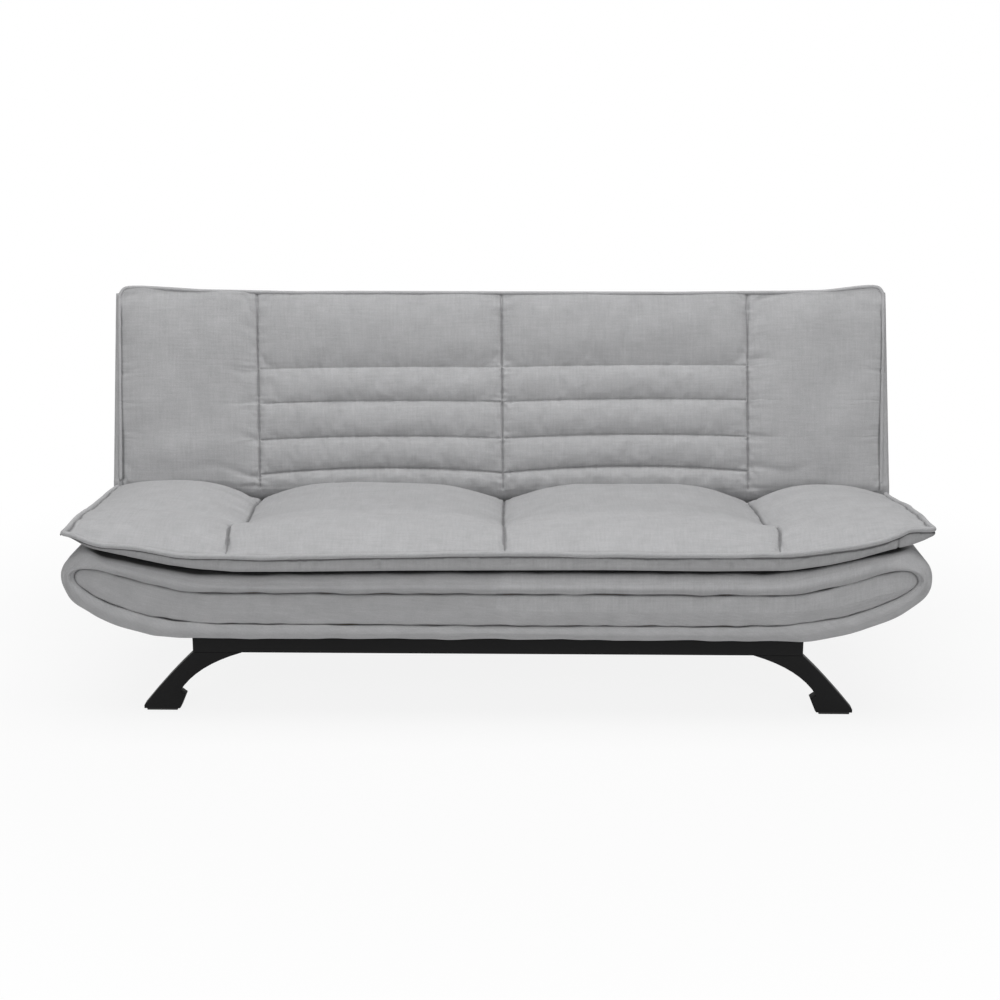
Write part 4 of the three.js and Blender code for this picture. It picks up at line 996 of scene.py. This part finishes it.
# %% Pad the inset
INSET_ROLL, INSET_FACE = 0.0085, BASE_FACE - 0.0005
inset_centre = np.stack([
    np.clip(inset_ring[:, 0], -0.905, 0.905),
    np.interp(np.abs(inset_ring[:, 0]), [0, 0.640, 0.760, 0.905], [0.280, 0.280, 0.292, 0.334]),
], 1)
inset_steps = [(0.0, 0.0, 0, BASE_FACE + 0.0085)]
inset_steps += [
    (INSET_ROLL * (1 - math.cos(a)), 0.0, 0, INSET_FACE + 0.0075 * (1 - math.sin(a)))
    for a in QUARTER
]
inset_steps += [
    (INSET_ROLL, 0.0, share, INSET_FACE - 0.003 * math.sin(math.pi / 2 * share))
    for share in np.linspace(0, 1, 10)[1:]
]
seam_rows = [stitch * share for share in (1, 1, 1, 0.7, 0.3)] + [0 * stitch] * (len(inset_steps) - 5)
base_inset = between_rings("base_inset_pad", inset_ring, inset_centre, inset_steps, seam_rows)
for piece, seed in ((base_front, 44), (base_inset, 45)):
    pushed(piece, 0.0011 * waves(places(piece) * (1, 0.3, 1.3), 0.075, seed))

# %% [markdown]
# ## The base's ends
# Behind the front panel the padding wraps each end of the frame. Its top follows the seat's underside
# and its lower side the curve of the boat, so it is lofted from outlines set along the sofa, closer
# together where the end turns under.

# %% Wrap the base's ends
END_START = 0.7183
WRAP_FRONT, WRAP_REAR, WRAP_TOP = 0.0543, 0.5377, SEAT_BOTTOM - 0.002


def spread_out(even, count, turned):
    """Shares from 0 to 1: evenly spaced at first, and closer together where the end turns."""
    turn = np.sin(np.linspace(0, math.pi / 2, turned)[1:])
    return np.concatenate([np.linspace(0, even, count), even + (1 - even) * turn])


def end_wrap(kind, side, xs, loops, place):
    """Lofts one end from its outlines, each put in its place at its x."""
    points = np.array([place(side * x, loop) for x, loop in zip(xs, loops)])
    return tailored(f"{kind}_end_wrap_{'left' if side < 0 else 'right'}", points[::side])


def base_end_outline(x, side):
    depth = np.linspace(WRAP_FRONT, WRAP_REAR, 30)
    parts = boat_parts(side)
    upper = np.concatenate(parts[:3])
    lower = np.concatenate(parts[3:])[::-1]
    top_height, low = (
        float(np.interp(x, np.maximum.accumulate(curve[:, 0]), curve[:, 1])) for curve in (upper, lower)
    )
    rise = top_height - WRAP_TOP
    top = WRAP_TOP + max(rise, 0) * sweep(depth) / sweep(BAND_REAR) + min(rise, 0)
    low = min(low, top[-1] - 0.0010)
    hang = 0.004 * ease(x, 0.72, 0.80) * ease(END - x, 0, 0.05)
    belly = low - hang * np.sin(np.linspace(0, math.pi, 12))
    closing = [[WRAP_FRONT, mix(low, top[0], 0.5)]]
    loop = closing + list(zip(depth, top)) + [[WRAP_REAR, mix(low, top[-1], 0.5)]]
    return np.array(loop + list(zip(np.linspace(WRAP_REAR, WRAP_FRONT, 12), belly)) + closing)


def base_end(side):
    share = spread_out(0.8, 17, 14)
    xs = mix(END_START, max(x for x, _ in BOAT_HULL[side]) - 0.0004, share)
    loops = [base_end_outline(x, side) for x in xs]
    last = loops[-1]
    closing = last * (1, 0) + (0, last[:, 1].mean())
    loops = [0 * last + (0.296, 0.290)] + loops + [mix(last, closing, 0.5), closing]
    xs = [END_START, *xs, xs[-1] + 0.0003, xs[-1] + 0.0004]
    return end_wrap("base", side, xs, loops, lambda x, loop: [[x, FRONT_Y + d, z] for d, z in loop])


base_ends = {side: base_end(side) for side in (-1, 1)}

# %% [markdown]
# ## The back's shell
# Padded cloth covers the frame behind the back cushion. The ends turn in a quarter round from the
# side to the rear. They are lofted along the sofa like the base's ends, and stood up with the hinge.

# %% Wrap the back's ends
SHELL_LOW, SHELL_REAR = 0.048, -0.1446


def back_end_outline(away):
    rear = mix(-0.020, SHELL_REAR, math.sqrt(max(0, 1 - away ** 2)))
    roll = min(0.016, 0.48 * (0.0037 - rear))
    turn = np.linspace(0, math.pi / 2, 7)
    corner = 1 - math.sqrt(1 - min(1, max(0, (away - 0.90) / 0.10)) ** 2)
    low, high = SHELL_LOW + 0.004 * away, BACK_LENGTH + 0.002 - 0.026 * corner
    across, behind = roll * np.sin(turn), rear + roll - roll * np.cos(turn)
    bottom = np.stack([low + roll - across, behind], 1)[::-1]
    top = np.stack([high - roll + across, behind], 1)
    face = np.linspace(low + roll, high - roll, 16)[1:-1]
    bulge = 0.004 * np.sin(np.linspace(0, math.pi, 16))[1:-1] * (1 - away)
    rear_face = np.stack([face, rear - bulge], 1)
    lowest, highest = [[low, 0.0037]], [[high, 0.0037]]
    return np.concatenate([lowest, bottom, rear_face, top, highest, lowest])


def back_end(side):
    away = spread_out(0.6, 7, 16)
    loops = [back_end_outline(a) for a in away]
    flat = 0 * loops[0]
    loops = [flat + (0.30, -0.07)] + loops + [flat + (0.30, -0.008)]
    xs = [END_START, *mix(END_START, END, away), END]
    return end_wrap("back", side, xs, loops, lambda x, loop: stood_up(
        widened(np.full(len(loop), x), loop[:, 0]), loop[:, 0], loop[:, 1],
    ))


back_ends = {side: back_end(side) for side in (-1, 1)}

# %% [markdown]
# ## Steel, boards and plain covers
# Pressed, sawn and cut parts keep the part's own shape, with the small radius that real edges have.
# Each is copied from its solid, its doubles are merged and its flat faces joined, and then the bevel
# rounds what is left. Light catches that edge, and without it a part looks like paper.

# %% Round the edges of a copy
slot_of = {row["node"]: row["material_slot"] for row in frame["record"]["subparts"]}
bodies = frame["record"]["behaviour"]["bodies"]
body_of = {node: body for body, nodes in bodies.items() for node in nodes}
dressed = []


def settle(piece, node):
    """Puts a piece on the body it rides on, hides the solid it stands for, and keeps it among the
    dressed pieces.
    """
    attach(piece, body_of[node])
    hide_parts(node)
    dressed.append(piece)


def softened(node, radius, segments=2):
    """A finished copy of one of the part's solids."""
    pick(bpy.data.objects[node])
    bpy.ops.object.duplicate()
    piece = bpy.context.object
    piece.name = node + "_finished"
    edit_all(lambda: bpy.ops.mesh.dissolve_limited(angle_limit=math.radians(1)))
    finish_modifier(piece, "BEVEL", width=radius, segments=segments, limit_method="ANGLE",
                    angle_limit=math.radians(25), use_clamp_overlap=True)
    pick(piece)
    bpy.ops.object.shade_smooth_by_angle(angle=math.radians(40))
    settle(piece, node)
    return piece


def pairs(*names):
    return [f"{name}_{side}" for name in names for side in ("left", "right")]


# %% Finish the hard parts
hard = {
    0.0040: ["front_rail", "rear_rail"],
    0.0020: pairs("cross_bar"),
    0.0010: pairs("leg_front", "leg_rear", "glide_front", "glide_rear"),
    0.0015: ["base_front_board", "base_rear_board", "back_bottom_board", "back_top_board"]
    + pairs("base_bulkhead", "back_bulkhead"),
    0.0004: pairs("hinge_seat_arm", "hinge_back_arm", "hinge_pawl"),
    0.0006: pairs("hinge_pivot", "hinge_stop_pin", "hinge_pawl_pin", "seat_arm_bolt", "back_arm_bolt"),
}
for radius, nodes in hard.items():
    for node in nodes:
        softened(node, radius)
print("hard parts finished:", len(dressed))

# %% [markdown]
# ## Plain padded covers
# The rear of the base, the rear and the top of the back are boards under thin padding. A wide bevel
# and a light swell are enough for them. The deck is thick felt, and the dust cover is a stretched black
# sheet stapled under the frame.

# %% Pad the plain covers
def sewn_cover(node, radius, swell, seed):
    """A padded copy of a plain panel: rounded, cut finer, and swollen a little."""
    piece = softened(node, radius, segments=4)
    pick(piece)
    bpy.ops.object.mode_set(mode="EDIT")
    bpy.ops.mesh.select_all(action="SELECT")
    bpy.ops.mesh.quads_convert_to_tris()
    for _ in range(3):
        bpy.ops.mesh.select_all(action="DESELECT")
        bpy.ops.object.mode_set(mode="OBJECT")
        points = places(piece)
        for edge in piece.data.edges:
            first, second = edge.vertices
            edge.select = bool(np.linalg.norm(points[first] - points[second]) > 0.05)
        bpy.ops.object.mode_set(mode="EDIT")
        bpy.ops.mesh.select_mode(type="EDGE")
        bpy.ops.mesh.subdivide(number_cuts=1)
        bpy.ops.mesh.select_all(action="SELECT")
        bpy.ops.mesh.quads_convert_to_tris()
    bpy.ops.object.mode_set(mode="OBJECT")
    pushed(piece, swell * (0.5 + 0.5 * waves(places(piece), 0.160, seed)) - 0.3 * swell)
    bpy.ops.object.shade_smooth()
    return piece


for node, radius, swell, seed in (
    ("base_rear_panel", 0.005, 0.0016, 41), ("back_rear_panel", 0.010, 0.0030, 42),
    ("back_top_cover", 0.008, 0.0020, 43), ("seat_deck", 0.002, 0.0006, 44),
    ("base_dust_cover", 0.0015, 0.0006, 45),
):
    sewn_cover(node, radius, swell, seed)

# %% Say what each sewn piece stands for
for piece, node, fill in (
    (seat, "seat_pad", 0.7), (back, "back_pad", 0.7), (base_front, "base_front_panel", 0.7),
    (base_inset, "base_inset_panel", 0.6), (base_ends[-1], "base_end_left", 0.6),
    (base_ends[1], "base_end_right", 0.6), (back_ends[-1], "back_end_left", 0.6),
    (back_ends[1], "back_end_right", 0.6),
):
    settle(piece, node)
for piece, body in ((seat_piping, "base"), (back_piping, "backrest")):
    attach(piece, body)
    dressed.append(piece)
print("pieces settled:", len(dressed))

# %% [markdown]
# ## Finishes
# A finish is a small graph of nodes. Each helper below adds one node and joins its inputs, so that a
# finish reads like a recipe. Even values, such as sheen, are set on the shader itself.

# %% Build finishes from nodes
def blank(name, **values):
    """A new finish with some even values of its shader."""
    finish = bpy.data.materials.new(name)
    finish.use_nodes = True
    shader = finish.node_tree.nodes["Principled BSDF"]
    for key, value in values.items():
        shader.inputs[key.replace("_", " ")].default_value = value
    return finish, finish.node_tree, shader


def joined(tree, kind, inputs=None, **settings):
    """Adds a node. An input is a number, a colour or another node's output."""
    node = tree.nodes.new(kind)
    for key, value in settings.items():
        setattr(node, key, value)
    for key, value in (inputs or {}).items():
        if isinstance(value, bpy.types.NodeSocket):
            tree.links.new(value, node.inputs[key])
        else:
            node.inputs[key].default_value = value
    return node


def sums(tree, operation, *values):
    return joined(tree, "ShaderNodeMath", dict(enumerate(values)), operation=operation).outputs[0]


def speckle(tree, vector, scale, detail=2.0, roughness=0.5):
    return joined(tree, "ShaderNodeTexNoise", {
        "Vector": vector, "Scale": scale, "Detail": detail, "Roughness": roughness,
    }).outputs["Fac"]


def between(tree, value, low, high, clamp=True):
    """Turns 0..1 into low..high."""
    ends = {"Value": value, "To Min": low, "To Max": high}
    return joined(tree, "ShaderNodeMapRange", ends, clamp=clamp).outputs[0]


def object_place(tree):
    return tree.nodes.new("ShaderNodeTexCoord").outputs["Object"]

def raised(tree, shader, height, strength, distance):
    """Lets a height shape the light on a surface."""
    inputs = {"Height": height, "Strength": strength, "Distance": distance}
    bump = joined(tree, "ShaderNodeBump", inputs)
    tree.links.new(bump.outputs["Normal"], shader.inputs["Normal"])


def tinted(tree, shader, colour, factor):
    """A colour made lighter or darker by a factor around 1."""
    grey = joined(tree, "ShaderNodeCombineColor", {0: factor, 1: factor, 2: factor}).outputs[0]
    mixed = joined(tree, "ShaderNodeMix", {"Factor": 1.0, 6: (*colour, 1), 7: grey},
                   data_type="RGBA", blend_type="MULTIPLY")
    tree.links.new(mixed.outputs[2], shader.inputs["Base Color"])


# %% [markdown]
# ## The woven cloth
# The cover is a brushed flat weave in light grey. Threads of about a millimetre and a half cross each
# other, some are thicker for a short way, and the nap lies lighter or darker in patches. The weave
# follows the two numbers kept on each vertex, so it runs straight along every piece and over its rolls.

# %% Finish the cloth
THREAD_PITCH = 0.0030

cloth, tree, shader = blank("brushed_weave", Roughness=0.92, Sheen_Weight=0.12, Sheen_Roughness=0.45,
                            Specular_IOR_Level=0.25)
place = object_place(tree)
along, across, seam_lines_and_shade = (
    joined(tree, "ShaderNodeAttribute", attribute_name=key).outputs["Fac"]
    for key in ("cloth_u", "cloth_v", "seam")
)


def slubs(stretch_u, stretch_v):
    """Thick places in the threads of one direction."""
    vector = joined(tree, "ShaderNodeCombineXYZ", {
        0: sums(tree, "MULTIPLY", along, stretch_u), 1: sums(tree, "MULTIPLY", across, stretch_v),
    }).outputs[0]
    return speckle(tree, vector, 1.0, 3.0, 0.6)


def threads(way):
    return sums(tree, "SINE", sums(tree, "MULTIPLY", way, 2 * math.pi / THREAD_PITCH))


weave = sums(tree, "MULTIPLY", threads(along), threads(across))
long_slubs, cross_slubs = slubs(16, 210), slubs(210, 16)
patches = speckle(tree, place, 26.0, 3.0, 0.6)
broad = speckle(tree, place, 5.0)
fuzz = speckle(tree, place, 380.0, 3.0, 0.7)
# The per-vertex numbers darken the cloth along seams and as painted shade, and below 0 they paint a
# highlight that lightens it.
tone = between(tree, seam_lines_and_shade, 1.0, 0.42, clamp=False)
for spots, low, high in (
    (long_slubs, 0.89, 1.11), (cross_slubs, 0.88, 1.12), (patches, 0.89, 1.11),
    (broad, 0.96, 1.04), (fuzz, 0.84, 1.16),
):
    tone = sums(tree, "MULTIPLY", tone, between(tree, spots, low, high))
tinted(tree, shader, (0.425, 0.425, 0.432), tone)
height = sums(tree, "MULTIPLY", weave, 0.35)
for spots, share in ((long_slubs, 0.8), (cross_slubs, 0.8), (fuzz, 0.7)):
    height = sums(tree, "ADD", height, sums(tree, "MULTIPLY", spots, share))
raised(tree, shader, height, 0.55, 0.0008)

# %% [markdown]
# ## Steel, timber, felt and the rest
# Powder coat is nearly black with a fine orange peel. Zinc is bright, with faint cloudy patches in its
# roughness. The boards are softwood with stretched grain, the deck is mottled felt, and the dust cover
# is a black sheet with pressed dots.

# %% Finish the metals
def roughened(tree, shader, spots, low, high):
    tree.links.new(between(tree, spots, low, high), shader.inputs["Roughness"])


black_steel, tree, shader = blank("powder_coat", Specular_IOR_Level=0.15)
place = object_place(tree)
worn = speckle(tree, place, 14.0, 3.0, 0.6)
tinted(tree, shader, (0.0075, 0.0075, 0.0078), between(tree, worn, 0.8, 1.25))
roughened(tree, shader, worn, 0.46, 0.60)
raised(tree, shader, speckle(tree, place, 900.0, 1.0), 0.25, 0.0004)

zinc, tree, shader = blank("bright_zinc", Metallic=1.0)
place = object_place(tree)
cloudy = speckle(tree, place, 60.0, 3.0, 0.6)
tinted(tree, shader, (0.56, 0.57, 0.58), between(tree, cloudy, 0.85, 1.12))
roughened(tree, shader, cloudy, 0.26, 0.48)
raised(tree, shader, speckle(tree, place, 1500.0, 1.0), 0.15, 0.0002)

# %% Finish the timber, felt, sheet and plastic
timber, tree, shader = blank("softwood")
grain_place = joined(tree, "ShaderNodeMapping", {
    "Vector": object_place(tree), "Scale": (3.0, 60.0, 60.0),
}).outputs[0]
grain = speckle(tree, grain_place, 1.0, 4.0, 0.6)
pores = speckle(tree, grain_place, 9.0)
ramp = joined(tree, "ShaderNodeMix", {
    "Factor": grain, 6: (0.58, 0.40, 0.22, 1), 7: (0.40, 0.24, 0.11, 1),
}, data_type="RGBA")
tree.links.new(ramp.outputs[2], shader.inputs["Base Color"])
roughened(tree, shader, pores, 0.62, 0.85)
raised(tree, shader, sums(tree, "ADD", grain, pores), 0.35, 0.0006)

felt, tree, shader = blank("pressed_felt", Roughness=0.95)
tufts = speckle(tree, object_place(tree), 180.0, 4.0, 0.7)
tinted(tree, shader, (0.55, 0.53, 0.48), between(tree, tufts, 0.75, 1.2))
raised(tree, shader, tufts, 0.6, 0.0012)

dust_cloth, tree, shader = blank("dust_sheet", Roughness=0.85)
dots = joined(tree, "ShaderNodeTexVoronoi", {
    "Vector": object_place(tree), "Scale": 420.0,
}).outputs["Distance"]
tinted(tree, shader, (0.020, 0.020, 0.021), between(tree, dots, 0.7, 1.4))
raised(tree, shader, dots, 0.5, 0.0006)

black_plastic, tree, shader = blank("moulded_plastic", Roughness=0.55)
grained = speckle(tree, object_place(tree), 1200.0)
tinted(tree, shader, (0.010, 0.010, 0.010), between(tree, grained, 0.85, 1.15))
raised(tree, shader, grained, 0.3, 0.0003)

# %% Give every piece its finish
finishes = {
    "fabric": cloth, "black_steel": black_steel, "zinc_steel": zinc, "timber": timber,
    "felt": felt, "dust_cloth": dust_cloth, "black_plastic": black_plastic,
}


def coat(piece, slot):
    piece.data.materials.clear()
    piece.data.materials.append(finishes[slot])


for name, slot in slot_of.items():
    coat(bpy.data.objects[name], slot)
for piece in dressed:
    slot = slot_of.get(piece.name.removesuffix("_finished"), "fabric")
    coat(piece, slot)
    if slot == "fabric" and "seam" not in piece.data.attributes:
        x, y, z = places(piece).T
        for key, values in (("cloth_u", z + 0.6 * y), ("cloth_v", x), ("seam", 0 * x)):
            note(piece, key, values)
print("finishes given:", len(finishes))

# %% [markdown]
# ## Floor, backdrop and light
# The photograph was taken on white. The floor stays pale and keeps the sofa's shadow, and it fades to
# the white of the backdrop away from it. Large lamps above and in front give the soft light of a
# studio, strongest on the seat and weaker on the upright faces.

# %% Lay the floor
def straight_rays(tree):
    """1 for rays from the camera or off metal and glass, and 0 for the light on the sofa."""
    rays = tree.nodes.new("ShaderNodeLightPath").outputs
    seen = sums(tree, "MAXIMUM", rays["Is Camera Ray"], rays["Is Glossy Ray"])
    return sums(tree, "MAXIMUM", seen, rays["Is Transmission Ray"])


deselect()
bpy.ops.mesh.primitive_plane_add(size=40, location=(0, 0, 0))
floor = bpy.context.object
floor.name = "floor"
pale, tree, shader = blank("pale_floor", Base_Color=(0.82, 0.82, 0.82, 1), Roughness=0.9)
far = joined(
    tree, "ShaderNodeVectorMath", {0: object_place(tree)}, operation="LENGTH",
).outputs["Value"]
fade = joined(tree, "ShaderNodeMapRange", {
    "Value": far, "From Min": 0.9, "From Max": 2.2, "To Min": 0.87, "To Max": 1.0,
}, interpolation_type="SMOOTHSTEP").outputs[0]
white = joined(tree, "ShaderNodeEmission", {"Color": (1, 1, 1, 1), "Strength": 1.0})
blend = joined(tree, "ShaderNodeMixShader", {
    0: sums(tree, "MULTIPLY", fade, straight_rays(tree)), 1: shader.outputs[0], 2: white.outputs[0],
})
tree.links.new(blend.outputs[0], tree.nodes["Material Output"].inputs["Surface"])
floor.data.materials.append(pale)


# %% Set the lamps and the backdrop
def lamp(name, place, aim, size, power):
    light = bpy.data.lights.new(name, "AREA")
    light.shape = "RECTANGLE"
    light.size, light.size_y = size
    light.energy = power
    holder = bpy.data.objects.new(name, light)
    holder.location = place
    holder.rotation_euler = (Vector(aim) - Vector(place)).to_track_quat("-Z", "Y").to_euler()
    bpy.context.collection.objects.link(holder)


lamp("ceiling_box", (0.0, -0.7, 3.4), (0.0, -0.1, 0.4), (4.2, 2.4), 92)
for name, x in (("front_left_box", -2.4), ("front_right_box", 2.4)):
    lamp(name, (x, -4.2, 2.3), (0.0, 0.0, 0.5), (2.2, 1.8), 27)
backdrop = bpy.data.worlds.new("backdrop")
bpy.context.scene.world = backdrop
backdrop.use_nodes = True
tree = backdrop.node_tree
background = tree.nodes["Background"]
tree.links.new(between(tree, straight_rays(tree), 0.24, 1.0), background.inputs["Strength"])
background.inputs["Color"].default_value = (1, 1, 1, 1)
